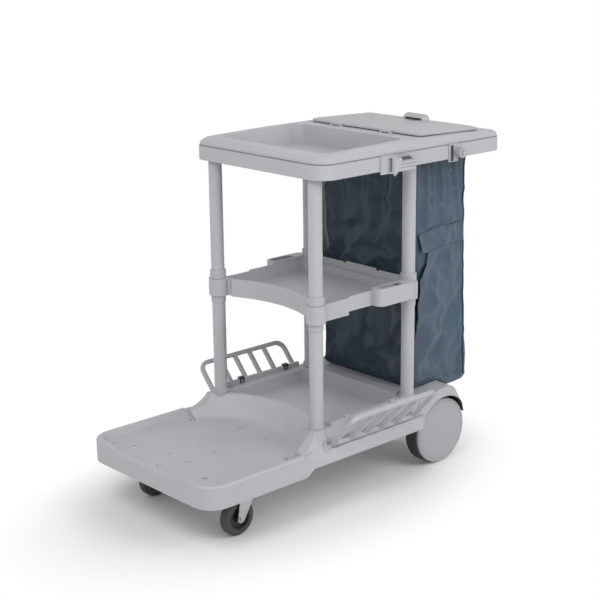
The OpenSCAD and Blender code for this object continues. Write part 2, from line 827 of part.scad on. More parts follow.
// Bag frame: four corner blocks and four strips pressed into the top as a rim, with lugs under
// the corner blocks for the bag's two rails
module bag_frame() color(grey) difference() {
    union() {
        bag_mouth(bag_frame_z, bag_rim_z, top_wall);
        for (s = [left, right]) for (x = [bag_mouth_x, bag_mouth_x + bag_mouth_l - rail_lug])
            side_box(s, x, x + rail_lug, rail_y - 10, rail_y + 8, rail_z - 8, seam_z - run_gap);
    }
    bag_mouth(bag_frame_z - lug_reach, bag_rim_z + past, 0);
    for (x = [bag_mouth_x + rail_lug + 1, bag_mouth_x + bag_mouth_l - rail_lug - 1])
        box(x - bore_gap, x + bore_gap, -half_w, half_w, bag_frame_z - lug_reach, bag_rim_z + past);
    for (s = [left, right])
        side_box(s, bag_mouth_x - top_wall - past, bag_mouth_x + bag_mouth_l + top_wall + past,
                 bag_mouth_w / 2 - bag_mouth_r - 1 - bore_gap, bag_mouth_w / 2 - bag_mouth_r - 1 + bore_gap,
                 bag_frame_z - lug_reach, bag_rim_z + past);
    for (s = [left, right])
        bar_x(bag_mouth_x - past, bag_mouth_x + bag_mouth_l + past, s * rail_y, rail_z,
              rail_d / 2 + bore_gap);
}

// Ear of a lid hinge on the tray
module hinge_ear(y) {
    bar_y(y - ear_l / 2, y + ear_l / 2, hinge_x, hinge_z, hinge_r);
    box(hinge_x - hinge_r, hinge_x + hinge_r, y - ear_l / 2, y + ear_l / 2, crown_z - top_wall, hinge_z);
}

// Lid: crowned panel, hollow below, with two hinge knuckles on its front edge
// and a shallow scoop in front of the grip
scoop_r = 120;
scoop_depth = 2.5;

// The lid lies on the arch, so it is drawn level and then turned about its hinge
module on_lid() {
    translate([hinge_x, 0, hinge_z]) rotate([0, lid_fall, 0])
        translate([-hinge_x, 0, -hinge_z]) children();
}

module lid_slab(z0, z1, inset, r) {
    slab(z0, z1, lid_x + inset, lid_x + lid_l - inset, lid_w / 2 - inset, r, r);
}

module lid() color(grey) on_lid() difference() {
    union() {
        difference() {
            hull($fn = 32) {
                lid_slab(lid_z, lid_z + lid_edge, 0, 24);
                lid_slab(lid_z + lid_edge, lid_z + lid_edge + lid_crown, 14, 12);
            }
            lid_slab(lid_z - past, lid_z + lid_skin, 6, 18);
            translate([lid_x + lid_l - 44, 0, lid_top_z + scoop_r - scoop_depth])
                sphere(scoop_r, $fn = 96);
        }
        for (s = [left, right]) {
            y = s * lid_hinge_track / 2;
            bar_y(y - knuckle_l / 2, y + knuckle_l / 2, hinge_x, hinge_z, hinge_r);
            box(hinge_x, lid_x + 8, y - knuckle_l / 2, y + knuckle_l / 2, lid_z, lid_z + lid_edge);
        }
    }
    bar_y(-lid_w / 2, lid_w / 2, hinge_x, hinge_z, lid_pin_d / 2 + bore_gap);
}

// Grip: a half-round hood on the lid's rear edge, open to the scoop for the fingers
module lid_grip() color(grey) on_lid() {
    x1 = lid_x + lid_l - 14;
    r = 15;
    skin = 3.5;
    difference() {
        hood(x1 - r, r, grip_l / 2 - r, grip_h, 0);
        hood(x1 - r, r - skin, grip_l / 2 - r, grip_h - skin, past);
        box(x1 - 2 * r - past, x1 - r - skin, r - grip_l / 2, grip_l / 2 - r, lid_top_z - past,
            lid_top_z + 6);
    }
}

// Half of a bar with round ends, standing on the lid
module hood(x, r, half_l, h, below) {
    intersection() {
        hull($fn = 40) for (y = [-half_l, half_l])
            translate([x, y, lid_top_z]) scale([1, 1, h / r]) sphere(r);
        box(x - 2 * r, x + 2 * r, -half_l - 2 * r, half_l + 2 * r, lid_top_z - below, lid_top_z + 2 * h);
    }
}

module lid_pins() color(zinc) for (s = [left, right]) {
    y = s * lid_hinge_track / 2;
    bar_y(y - knuckle_l / 2 - ear_l, y + knuckle_l / 2 + ear_l, hinge_x, hinge_z, lid_pin_d / 2);
}

// Bag: five sewn panels with piping along the upright edges, hung by the hem's sleeves
bag_front_x = bag_mouth_x + 2;
bag_rear_x = bag_mouth_x + bag_mouth_l - 2;
bag_sag = 22;
bag_half_w = bag_mouth_w / 2 - 2;
bag_rest_z = bag_deck_z + run_gap;
bag_bend_x = wheel_x + 30;
piping_r = 2.2;

// Section in the XZ plane drawn out along Y
module bag_across(y0, y1) {
    translate([0, y1, 0]) rotate([90, 0, 0]) linear_extrude(y1 - y0) children();
}

module bag() color(nylon) {
    seam = 0.2;
    inside = bag_half_w - bag_t - seam;
    foot_x = bag_rear_x + bag_sag;
    foot_z = bag_bottom_z + bag_t + seam;
    for (s = [left, right]) {
        bag_across(s < 0 ? -bag_half_w : bag_half_w - bag_t, s < 0 ? bag_t - bag_half_w : bag_half_w)
            polygon([[bag_front_x, bag_frame_z], [bag_front_x, bag_rest_z], [bag_bend_x, bag_rest_z],
                     [foot_x, bag_bottom_z], [bag_rear_x, bag_frame_z]]);
        bar_z(bag_rest_z, rail_z - 10, bag_front_x, s * (bag_half_w + piping_r + seam), piping_r);
        hem_sleeve(s, bag_half_w + seam);
    }
    box(bag_front_x, bag_front_x + bag_t, -inside, inside, bag_rest_z + bag_t + seam, bag_frame_z);
    bag_across(-inside, inside)
        polygon([[bag_front_x, bag_rest_z], [bag_bend_x, bag_rest_z], [foot_x, bag_bottom_z],
                 [foot_x, bag_bottom_z + bag_t], [bag_bend_x, bag_rest_z + bag_t],
                 [bag_front_x, bag_rest_z + bag_t]]);
    bag_across(-inside, inside)
        polygon([[foot_x, foot_z], [bag_rear_x, bag_frame_z], [bag_rear_x - bag_t, bag_frame_z],
                 [foot_x - bag_t, foot_z]]);
}

// Sleeve of the hem around one rail
module hem_sleeve(s, y) {
    x0 = bag_mouth_x + rail_lug + 2;
    x1 = bag_mouth_x + bag_mouth_l - rail_lug - 2;
    difference() {
        union() {
            bar_x(x0, x1, s * rail_y, rail_z, rail_d / 2 + bag_t);
            side_box(s, x0, x1, y, rail_y, rail_z - bag_t, rail_z);
        }
        bar_x(x0 - past, x1 + past, s * rail_y, rail_z, rail_d / 2 + bore_gap);
    }
}

module bag_rails() color(zinc) for (s = [left, right])
    bar_x(bag_mouth_x, bag_mouth_x + bag_mouth_l, s * rail_y, rail_z, rail_d / 2);

// Rear wheels: places measured outwards along the axle
module on_axle(s) { translate([wheel_x, 0, wheel_z]) rotate([-90 * s, 0, 0]) children(); }

module wheel(s) color(cap_grey) on_axle(s) rotate_extrude()
    polygon([[axle_r + bore_gap, hub_in_y], [hub_r, hub_in_y], [hub_r, tyre_in_y + 16],
             [rim_r - 8, tyre_in_y + 16], [rim_r - 8, tyre_in_y + 2], [rim_r, tyre_in_y + 2],
             [rim_r, tyre_out_y - 1], [rim_r - 8, tyre_out_y - 1], [rim_r - 8, tyre_in_y + 22],
             [hub_r, tyre_in_y + 22], [hub_r, hub_out_y], [axle_r + bore_gap, hub_out_y]]);

module tyre(s) color(black) on_axle(s) rotate_extrude() {
    shoulder = 6;
    out_r = wheel_d / 2;
    translate([rim_r, tyre_in_y]) square([tyre_t - shoulder, tyre_w]);
    translate([rim_r, tyre_in_y + shoulder]) square([tyre_t, tyre_w - 2 * shoulder]);
    for (y = [tyre_in_y + shoulder, tyre_out_y - shoulder])
        translate([out_r - shoulder, y]) circle(shoulder);
}

module hub_cap(s) color(cap_grey) on_axle(s) rotate_extrude()
    polygon([[0, cap_y - cap_t], [rim_r - 8, cap_y - cap_t], [rim_r - 8, tyre_out_y - 1],
             [rim_r, tyre_out_y - 1], [rim_r, cap_y - cap_t - 2],
             [cap_d / 2 - 3, cap_y - cap_t - 2], [cap_d / 2 - 3, tyre_out_y + run_gap],
             [cap_d / 2, tyre_out_y + run_gap], [cap_d / 2, cap_y - 4], [cap_d / 2 - 2, cap_y - 1.5],
             [cap_d / 2 - 6, cap_y - 0.8], [cap_d / 2 - 7, cap_y], [0, cap_y]]);

axle_half = hub_out_y + 2;

module rear_axle() color(zinc) bar_y(-axle_half, axle_half, wheel_x, wheel_z, axle_r);

module axle_spacers() color(zinc) for (s = [left, right])
    on_axle(s) ring(axle_rib_y + axle_rib_t, hub_in_y - run_gap, axle_r + 4, axle_r + bore_gap);

module axle_caps() color(zinc) for (s = [left, right])
    on_axle(s) difference() {
        translate([0, 0, hub_out_y + run_gap]) cylinder(r = axle_r + 5, h = 3.5);
        cylinder(r = axle_r + bore_gap, h = axle_half + bore_gap);
    }

// Casters: places measured from the swivel axis on the floor
bolt_r = 4;
module at_caster(s) { translate([caster_x, s * caster_track / 2, 0]) children(); }

module at_bolts() {
    for (s = [left, right])
        at_caster(s) for (i = [-1, 1]) for (j = [-1, 1])
            translate([i * (plate_l / 2 - 10), j * (plate_w / 2 - 10), 0]) children();
}

module caster_bolts() color(zinc) at_bolts() {
    bar_z(caster_h - plate_t, floor_z - deck_wall - 8, 0, 0, bolt_r);
    translate([0, 0, caster_h - plate_t - 5]) cylinder(r = 7, h = 5, $fn = 6);
}

module caster_plate(s) color(zinc) at_caster(s) difference() {
    union() {
        box(-plate_l / 2, plate_l / 2, -plate_w / 2, plate_w / 2, caster_h - plate_t, caster_h);
        bar_z(caster_h - plate_t - race_head_h, caster_h, 0, 0, 26);
    }
    bar_z(0, caster_h + past, 0, 0, kingpin_r + bore_gap);
    for (i = [-1, 1]) for (j = [-1, 1])
        bar_z(0, caster_h + past, i * (plate_l / 2 - 10), j * (plate_w / 2 - 10), bolt_r + bore_gap);
}

module caster_race(s) color(zinc) at_caster(s)
    ring(fork_top_z + run_gap, fork_top_z + run_gap + race_h, 25, kingpin_r + 8);

module kingpin(s) color(zinc) at_caster(s) {
    bar_z(fork_top_z - fork_disc_t - run_gap - past, caster_h, 0, 0, kingpin_r);
    bar_z(fork_top_z - fork_disc_t - run_gap - 4.5, fork_top_z - fork_disc_t - run_gap, 0, 0,
          kingpin_r + 4);
}

// Fork: swivel disc, bridge and two legs that narrow down to the axle
module fork(s) color(zinc) at_caster(s) difference() {
    union() {
        bar_z(fork_top_z - fork_disc_t, fork_top_z, 0, 0, 30);
        box(-24, 24, -fork_half - fork_t, fork_half + fork_t, fork_top_z - fork_disc_t,
            fork_top_z - fork_disc_t + fork_t);
        for (j = [left, right])
            translate([0, j * (fork_half + fork_t / 2) + fork_t / 2, 0])
                rotate([90, 0, 0]) linear_extrude(fork_t) {
                polygon([[-24, fork_top_z - fork_disc_t + fork_t],
                         [24, fork_top_z - fork_disc_t + fork_t],
                         [16, fork_top_z - 30], [11 - caster_trail, caster_r - 6],
                         [-11 - caster_trail, caster_r + 2], [-26, fork_top_z - 24]]);
                translate([-caster_trail, caster_r]) circle(12);
            }
    }
    bar_z(0, caster_h, 0, 0, kingpin_r + bore_gap);
    bar_y(-caster_track, caster_track, -caster_trail, caster_r, caster_axle_r + bore_gap);
}

module caster_axle(s) color(zinc) at_caster(s) {
    reach = fork_half + fork_t;
    bar_y(-reach - 5, reach + 5, -caster_trail, caster_r, caster_axle_r);
    for (j = [left, right])
        translate([-caster_trail, j < 0 ? -reach - 5 : reach, caster_r]) rotate([-90, 0, 0])
            cylinder(r = caster_axle_r + 3.5, h = 5, $fn = 6);
}

module caster_hub(s) color(black) at_caster(s) translate([-caster_trail, 0, caster_r]) rotate([90, 0, 0])
    difference() {
        union() {
            cylinder(r = caster_hub_r, h = caster_w - 4, center = true);
            cylinder(r = 10, h = 2 * (fork_half - run_gap), center = true);
        }
        cylinder(r = caster_axle_r + bore_gap, h = 4 * fork_half, center = true);
        for (j = [left, right]) translate([0, 0, j * (caster_w / 2 - 2)]) difference() {
            cylinder(r = caster_hub_r - 4, h = 12, center = true);
            cylinder(r = 14, h = 14, center = true);
        }
    }

module caster_tyre(s) color(black) at_caster(s) translate([-caster_trail, 0, caster_r]) rotate([90, 0, 0])
    rotate_extrude() {
        shoulder = 8;
        translate([caster_hub_r, -caster_w / 2]) square([caster_r - caster_hub_r - shoulder, caster_w]);
        translate([caster_hub_r, shoulder - caster_w / 2])
            square([caster_r - caster_hub_r, caster_w - 2 * shoulder]);
        for (y = [-1, 1])
            translate([caster_r - shoulder, y * (caster_w / 2 - shoulder)]) circle(shoulder);
    }

// Side racks: drawn upright on their hinge line and tipped outwards
module at_rack(s) {
    translate([rack_x, s * rack_hinge_y, rack_hinge_z]) rotate([-s * rack_tilt, 0, 0]) children();
}

module rack_outline(inset, r) {
    half = rack_l / 2 - inset;
    translate([-half, 0]) square([2 * half, rack_h - inset - r]);
    translate([r - half, 0]) square([2 * (half - r), rack_h - inset]);
    for (i = [-1, 1]) translate([i * (half - r), rack_h - inset - r]) circle(r);
}

module rack(s) color(grey) at_rack(s) difference() {
    union() {
        rotate([90, 0, 0]) linear_extrude(rack_t, center = true) difference() {
            rack_outline(0, 32);
            difference() {
                rack_outline(rack_bar, 22);
                translate([-rack_l, -past]) square([2 * rack_l, rack_rail_r + 2 + past]);
                for (i = [-1.5 : 1 : 1.5])
                    translate([i * rack_pitch - rack_bar / 2, 0]) square([rack_bar, rack_h]);
            }
        }
        bar_x(-rack_l / 2, rack_l / 2, 0, 0, rack_rail_r);
    }
    bar_x(-rack_l, rack_l, 0, 0, rack_pin_r + bore_gap);
}

module rack_pins(s) color(zinc) for (i = [-1, 1])
    translate([rack_x + i * (rack_l / 2 + run_gap), s * rack_hinge_y, rack_hinge_z])
        bar_x(i < 0 ? -ear_t : -26, i < 0 ? 26 : ear_t, 0, 0, rack_pin_r);

// Bracket plate on the band, with a lip that hooks into the groove under the tray
module bracket_plate(x, half_l) {
    box(x - half_l, x + half_l, -half_w - bracket_t, -half_w, clip_z, seam_z + groove_h - 0.6);
    box(x - half_l, x + half_l, -half_w - past, -half_w + groove_in - 1, seam_z, seam_z + groove_h - 0.6);
}

module clip_bracket() color(grey) difference() {
    union() {
        bracket_plate(clip_x - 16, 24);
        for (z = [clip_z, clip_z + clip_arm_h + clip_ear_t + 2 * run_gap])
            hull($fn = 32) {
                bar_z(z, z + clip_ear_t, clip_x, -clip_y, clip_barrel_r);
                box(clip_x - 12, clip_x + 8, -half_w - bracket_t, -half_w - past, z, z + clip_ear_t);
            }
    }
    bar_z(clip_z - past, seam_z + past, clip_x, -clip_y, clip_pin_r + bore_gap);
}

// Swinging arm with moulded grip ribs on its outer face
module clip_arm() color(grey) {
    z0 = clip_z + clip_ear_t + run_gap;
    difference() {
        union() {
            bar_z(z0, z0 + clip_arm_h, clip_x, -clip_y, clip_barrel_r);
            box(clip_x, clip_x + clip_arm_l, -clip_y - 8, -clip_y + 5, z0, z0 + clip_arm_h);
        }
        bar_z(z0 - past, z0 + clip_arm_h + past, clip_x, -clip_y, clip_pin_r + bore_gap);
        for (i = [1 : 3])
            box(clip_x + 14, clip_x + clip_arm_l + past, -clip_y - 9, -clip_y - 6,
                z0 + i * clip_arm_h / 4 - 1.5,
                z0 + i * clip_arm_h / 4 + 1.5);
        box(clip_x + 12, clip_x + clip_arm_l - 5, -clip_y - 3, -clip_y + 6, z0 + 5, z0 + clip_arm_h - 5);
    }
}

module clip_pin() color(zinc)
    bar_z(clip_z - 6, clip_z + clip_arm_h + 2 * clip_ear_t + 3 * run_gap, clip_x, -clip_y, clip_pin_r);

roller_z = seam_z - band_h / 2 - 2;

module roller_bracket() color(grey) difference() {
    union() {
        bracket_plate(roller_x - 16, 18);
        bar_y(-half_w - bracket_t, -half_w, roller_x, roller_z, roller_d / 2);
        side_box(left, roller_x - 16, roller_x, half_w, half_w + bracket_t, roller_z - 8, roller_z + 8);
    }
    bar_y(-half_w - bracket_t - past, -half_w + past, roller_x, roller_z, roller_pin_r + bore_gap);
}

module roller() color(cap_grey) difference() {
    union() {
        bar_y(-half_w - bracket_t - run_gap - roller_l, -half_w - bracket_t - run_gap, roller_x, roller_z,
              roller_d / 2 - 2);
        for (y = [3, roller_l / 2, roller_l - 3])
            bar_y(-half_w - bracket_t - run_gap - y - 2, -half_w - bracket_t - run_gap - y + 2, roller_x,
                  roller_z,
                  roller_d / 2);
    }
    bar_y(-half_w - 60, -half_w, roller_x, roller_z, roller_pin_r + bore_gap);
}

module roller_pin() color(zinc) {
    end = half_w + bracket_t + 2 * run_gap + roller_l;
    bar_y(-end - 3, -half_w, roller_x, roller_z, roller_pin_r);
    bar_y(-end - 3, -end, roller_x, roller_z, roller_pin_r + 3);
}

base_deck();
rail_clips();
foot_collars();
shelf_collars();
middle_shelf();
top_frame();
top_tray();
lower_post(post_front_x, left);  // lower_post_front_left
lower_post(post_front_x, right);  // lower_post_front_right
lower_post(post_rear_x, left);  // lower_post_rear_left
lower_post(post_rear_x, right);  // lower_post_rear_right
upper_post(post_front_x, left);  // upper_post_front_left
upper_post(post_front_x, right);  // upper_post_front_right
upper_post(post_rear_x, left);  // upper_post_rear_left
upper_post(post_rear_x, right);  // upper_post_rear_right
lid();
lid_grip();
lid_pins();
bag_frame();
bag();
bag_rails();
rear_axle();
axle_spacers();
axle_caps();
wheel(left);  // left_wheel
tyre(left);  // left_tyre
hub_cap(left);  // left_hub_cap
wheel(right);  // right_wheel
tyre(right);  // right_tyre
hub_cap(right);  // right_hub_cap
caster_bolts();
caster_plate(left);  // left_caster_plate
caster_race(left);  // left_caster_race
kingpin(left);  // left_kingpin
fork(left);  // left_fork
caster_axle(left);  // left_caster_axle
caster_hub(left);  // left_caster_hub
caster_tyre(left);  // left_caster_tyre
caster_plate(right);  // right_caster_plate
caster_race(right);  // right_caster_race
kingpin(right);  // right_kingpin
fork(right);  // right_fork
caster_axle(right);  // right_caster_axle
caster_hub(right);  // right_caster_hub
caster_tyre(right);  // right_caster_tyre
rack(left);  // left_rack
rack_pins(left);  // left_rack_pins
rack(right);  // right_rack
rack_pins(right);  // right_rack_pins
clip_bracket();
clip_arm();
clip_pin();
roller_bracket();
roller();
roller_pin();
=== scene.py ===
import json
import math

import bmesh
import bpy
import numpy as np
from mathutils import Matrix, Vector, noise

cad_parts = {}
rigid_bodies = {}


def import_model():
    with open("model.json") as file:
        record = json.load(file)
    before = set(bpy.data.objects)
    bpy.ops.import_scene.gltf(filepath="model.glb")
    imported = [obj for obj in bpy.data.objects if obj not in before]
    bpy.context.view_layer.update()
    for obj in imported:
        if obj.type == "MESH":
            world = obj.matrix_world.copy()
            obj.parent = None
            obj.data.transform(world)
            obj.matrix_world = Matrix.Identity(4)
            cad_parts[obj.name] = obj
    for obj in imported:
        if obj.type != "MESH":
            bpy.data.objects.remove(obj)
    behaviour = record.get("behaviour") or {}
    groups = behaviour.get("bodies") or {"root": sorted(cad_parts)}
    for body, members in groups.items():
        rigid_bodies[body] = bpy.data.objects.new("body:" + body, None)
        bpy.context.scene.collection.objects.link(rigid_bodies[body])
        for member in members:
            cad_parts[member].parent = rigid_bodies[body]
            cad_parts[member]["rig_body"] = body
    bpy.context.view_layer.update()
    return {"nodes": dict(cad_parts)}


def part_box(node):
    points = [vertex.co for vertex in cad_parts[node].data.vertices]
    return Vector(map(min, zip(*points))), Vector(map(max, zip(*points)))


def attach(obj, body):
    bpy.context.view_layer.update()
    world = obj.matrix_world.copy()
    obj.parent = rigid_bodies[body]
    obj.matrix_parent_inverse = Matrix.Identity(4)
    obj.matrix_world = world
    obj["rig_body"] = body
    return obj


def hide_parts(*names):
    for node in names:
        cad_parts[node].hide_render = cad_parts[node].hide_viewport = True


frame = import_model()
nodes = frame["nodes"]


# Base deck: one large injection moulding in grey polypropylene. Its edges are drawn with
# small radii, as a mould gives them, and its skin has a fine satin grain.


def srgb(code):
    """Linear colour of an sRGB hex value."""
    parts = [int(code[i : i + 2], 16) / 255 for i in (1, 3, 5)]
    return tuple(c / 12.92 if c <= 0.04045 else ((c + 0.055) / 1.055) ** 2.4 for c in parts) + (1.0,)


def put(tree, kind, sockets=None, **settings):
    """Adds a node with its settings, and sets or links its input sockets."""
    made = tree.nodes.new(kind)
    for name, value in settings.items():
        setattr(made, name, value)
    for name, value in (sockets or {}).items():
        if isinstance(value, bpy.types.NodeSocket):
            tree.links.new(value, made.inputs[name])
        else:
            made.inputs[name].default_value = value
    return made


def new_material(name):
    """A new material, with its tree, its shader and the Object coordinates that its patterns lie on."""
    made = bpy.data.materials.new(name)
    made.use_nodes = True
    tree = made.node_tree
    return made, tree, tree.nodes["Principled BSDF"], put(tree, "ShaderNodeTexCoord").outputs["Object"]


def moulded_polypropylene(name, pale, dark, roughness):
    """Moulded polypropylene: satin, with a cloudy tone from the mould's flow, about 120 mm wide,
    handling marks about 25 mm wide, and a grain drawn at 1.6 mm, larger than the real 0.3 mm."""
    made, tree, shader, place = new_material(name)
    flow_scale, mark_scale, grain_scale = 8.0, 40.0, 620.0
    cloud = put(tree, "ShaderNodeTexNoise", {"Vector": place, "Scale": flow_scale, "Detail": 4.0}).outputs["Fac"]
    tone = put(tree, "ShaderNodeMix", {"Factor": cloud, "A": srgb(dark), "B": srgb(pale)}, data_type="RGBA")
    tree.links.new(tone.outputs["Result"], shader.inputs["Base Color"])
    grain = put(tree, "ShaderNodeTexNoise", {"Vector": place, "Scale": grain_scale, "Detail": 2.0}).outputs["Fac"]
    marks = put(tree, "ShaderNodeTexNoise", {"Vector": place, "Scale": mark_scale, "Detail": 5.0}).outputs["Fac"]
    worn = put(tree, "ShaderNodeMath", {0: grain, 1: marks}, operation="ADD").outputs["Value"]
    gloss = put(
        tree,
        "ShaderNodeMapRange",
        {"Value": worn, "From Min": 0.7, "From Max": 1.3, "To Min": roughness - 0.07, "To Max": roughness + 0.08},
    )
    tree.links.new(gloss.outputs["Result"], shader.inputs["Roughness"])
    skin = put(tree, "ShaderNodeBump", {"Height": grain, "Strength": 0.12, "Distance": 0.0004})
    tree.links.new(skin.outputs["Normal"], shader.inputs["Normal"])
    shader.inputs["IOR"].default_value = 1.49
    return made


def add_piece(name, mesh):
    """A new object of a mesh, linked to the scene."""
    piece = bpy.data.objects.new(name, mesh)
    bpy.context.scene.collection.objects.link(piece)
    return piece


def apply_modifiers(piece):
    """Turns a piece with its modifiers into a plain mesh."""
    finished = bpy.data.meshes.new_from_object(piece.evaluated_get(bpy.context.evaluated_depsgraph_get()))
    piece.modifiers.clear()
    piece.data = finished
    return finished


# Faces that meet at more than the edge angle meet in an edge, which gets a mould's radius. The CAD's
# loose triangles are welded first, and those in one plane are made one face.
edge_angle, flat_angle, weld = math.radians(32), math.radians(0.6), 2e-5
radius_steps = 3


def soften(name, node, radius, material, side=0, form=None):
    """A copy of a CAD node, or of its left or right side, with its edges rounded to a mould's radius, in
    place of the node. form is a function that works on the copy before that."""
    source = nodes[node]
    mesh = source.data.copy()
    shape = bmesh.new()
    shape.from_mesh(mesh)
    if side:
        bmesh.ops.delete(shape, geom=[v for v in shape.verts if v.co.y * side < 0], context="VERTS")
    bmesh.ops.remove_doubles(shape, verts=shape.verts, dist=weld)
    bmesh.ops.dissolve_limit(shape, angle_limit=flat_angle, verts=shape.verts, edges=shape.edges)
    if form:
        form(shape)
    shape.to_mesh(mesh)
    shape.free()
    mesh.shade_smooth()
    mesh.set_sharp_from_angle(angle=edge_angle)
    piece = add_piece(name, mesh)
    edge = piece.modifiers.new("edge_radius", "BEVEL")
    edge.width = radius
    edge.segments = radius_steps
    edge.limit_method = "ANGLE"
    edge.angle_limit = edge_angle
    edge.use_clamp_overlap = True
    edge.harden_normals = True
    finished = apply_modifiers(piece)
    finished.materials.clear()
    finished.materials.append(material)
    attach(piece, source["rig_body"])
    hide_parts(node)
    return piece


def cut_across(shape, x):
    """Cuts a mesh's faces along a plane across the cart."""
    bmesh.ops.bisect_plane(
        shape, geom=shape.verts[:] + shape.edges[:] + shape.faces[:], plane_co=(x, 0, 0), plane_no=(1, 0, 0)
    )


lip_x, lip_top, fender_y = 0.2315, 0.18, 0.2365
past_cut, taper_share = 0.0005, 0.1


def skirt_taper(shape):
    """Draws the skirt in to the fender's face between the hinge lip's end and the wheel arch."""
    cut_across(shape, lip_x)
    for v in shape.verts:
        if v.co.x > lip_x + past_cut and abs(v.co.y) > fender_y and v.co.z < lip_top:
            v.co.y = math.copysign(fender_y + (abs(v.co.y) - fender_y) * taper_share, v.co.y)


satin_grey = moulded_polypropylene("satin_grey_polypropylene", "#b2b3b6", "#a9aaad", 0.5)
soften("deck_moulding", "base_deck", 0.0028, satin_grey, form=skirt_taper)


# Run-out of the hinge lip: the same moulding's lip goes over into the tapered skirt before the
# wheel arch, as a wedge from the lip's end to the arch's edge.


def shaped(name, points, faces, material, node):
    """A piece of its own form, carried by a CAD node's body and finished in that node's slot or another."""
    mesh = bpy.data.meshes.new(name)
    mesh.from_pydata(points, [], faces)
    shape = bmesh.new()
    shape.from_mesh(mesh)
    bmesh.ops.recalc_face_normals(shape, faces=shape.faces)
    shape.to_mesh(mesh)
    shape.free()
    mesh.shade_smooth()
    mesh.set_sharp_from_angle(angle=edge_angle)
    mesh.materials.append(material)
    piece = add_piece(name, mesh)
    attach(piece, nodes[node]["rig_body"])
    return piece


sides = ((-1, "left"), (1, "right"))
lip_end = [(0.2298, 0.265, 0.156), (0.2298, 0.2524, 0.184), (0.2298, 0.244, 0.184), (0.2298, 0.244, 0.156)]
arch_edge = [
    (0.2608, 0.2394, 0.156), (0.2698, 0.2374, 0.1696), (0.2735, 0.2366, 0.176), (0.2608, 0.2350, 0.156),
]
# The faces between two sections of four points, and the two sections.
bar_faces = [(0, 1, 5, 4), (1, 2, 6, 5), (2, 3, 7, 6), (3, 0, 4, 7), (0, 3, 2, 1), (4, 5, 6, 7)]
for turn, side in sides:
    wedge = [(x, turn * y, z) for x, y, z in lip_end + arch_edge]
    shaped(side + "_lip_run_out", wedge, bar_faces, satin_grey, "base_deck")


# Rail clips: snap-on clips over the ledge rails, which a closed rack leans on. They are injection moulded in
# polypropylene and grey; those on the right, the far side, are drawn black as painted shade.
# A black finish that stands for painted shade, on the far rail clips, on the arch liners and on the two strips at
# the tool clips.
painted_shade_black = moulded_polypropylene("painted_shade_black_polypropylene", "#3a3b3d", "#2e2f31", 0.45)
soften("left_ledge_clips", "rail_clips", 0.0006, satin_grey, side=-1)
soften("right_ledge_clips", "rail_clips", 0.0006, painted_shade_black, side=1)


# Arch liners: thin polypropylene sheets inside the arches over the rear wheels, drawn black as painted shade for the
# arches' shaded insides. Each ends behind its wheel as a guard, below the tail of the fender, and narrows to its
# end.


def ease(start, end, value):
    """0 before start, 1 after end, smooth between."""
    share = np.clip((value - start) / (end - start), 0, 1)
    return share * share * (3 - 2 * share)


arch_x, arch_z, liner_r, liner_t = 0.356, 0.1055, 0.1058, 0.0014
liner_inner_y, liner_outer_y, guard_narrowing = 0.1578, 0.2350, 0.0125
# Degrees up from the rear: where the liner starts, how far the guard narrows, and the step.
guard_start, guard_end, liner_step, liner_sections = 18, 52, 2.4, 57
for turn, side in sides:
    points, faces = [], []
    for k in range(liner_sections):
        degrees = guard_start + liner_step * k
        angle = math.radians(degrees)
        outer_y = liner_outer_y - guard_narrowing * (1 - ease(guard_start, guard_end, degrees))
        for r, y in (
            (liner_r, outer_y),
            (liner_r, liner_inner_y),
            (liner_r - liner_t, liner_inner_y),
            (liner_r - liner_t, outer_y),
        ):
            points.append((arch_x + r * math.cos(angle), turn * y, arch_z + r * math.sin(angle)))
        if k:
            a, b = 4 * k - 4, 4 * k
            faces += [(a + i, a + (i + 1) % 4, b + (i + 1) % 4, b + i) for i in range(4)]
    faces += [(0, 1, 2, 3), tuple(len(points) - i for i in (1, 2, 3, 4))]
    shaped(side + "_arch_liner", points, faces, painted_shade_black, "rail_clips")


# Posts and collars: extruded tubes pushed into the mouldings' sockets, with loose collar
# rings over the joints. The extrusion is smoother than the mouldings.


def refinish(node, material):
    """Gives a CAD node that stays its finished material."""
    nodes[node].data.materials.clear()
    nodes[node].data.materials.append(material)


tube_grey = moulded_polypropylene("smooth_grey_tube", "#b4b5b8", "#adaeb1", 0.42)
for node in nodes:
    if "_post_" in node:
        refinish(node, tube_grey)
soften("foot_rings", "foot_collars", 0.0012, satin_grey)
soften("shelf_rings", "shelf_collars", 0.0015, satin_grey)


# Middle shelf: a walled moulding with a bowed front and a bottle holder on each side,
# carried by its sockets on the posts.
soften("shelf_moulding", "middle_shelf", 0.0018, satin_grey)


# Top: a band on the posts, a crowned tray pressed on it, and the rim that frames the bag's
# mouth under the lid, three mouldings with seams between.
soften("top_band", "top_frame", 0.002, satin_grey)
soften("top_tray_moulding", "top_tray", 0.0025, satin_grey)
soften("mouth_rim", "bag_frame", 0.0008, satin_grey)


# Lid and grip: a thin crowned polypropylene moulding that turns on two steel pins in the tray,
# and a moulded hood for the fingers, snapped on near its rear edge.
soften("lid_panel", "lid", 0.0014, satin_grey)
soften("lid_hood", "lid_grip", 0.0008, satin_grey)


# Side racks: barred polypropylene mouldings that turn on steel pins in the deck's ears. They stand
# folded out, and a closed one leans on the rail clips.
soften("left_rack_moulding", "left_rack", 0.0022, satin_grey)
soften("right_rack_moulding", "right_rack", 0.0022, satin_grey)


# Tool clips on the left side of the band: a swinging arm and a gripping roller, each on a
# polypropylene bracket hooked into the groove above the band.
soften("clip_bracket_moulding", "clip_bracket", 0.0008, satin_grey)
soften("roller_bracket_moulding", "roller_bracket", 0.0008, satin_grey)
notch_cuts = (0.106, 0.111, 0.150, 0.155)
notch_start, notch_end, notch_drop = 0.1105, 0.1505, 0.008
outer_wall_y, arm_top_z = -0.2835, 0.955


def finger_notch(shape):
    """Slopes the arm's top down to its outer wall between its ends."""
    for x in notch_cuts:
        cut_across(shape, x)
    for v in shape.verts:
        if notch_start < v.co.x < notch_end and v.co.y < outer_wall_y and v.co.z > arm_top_z:
            v.co.z -= notch_drop


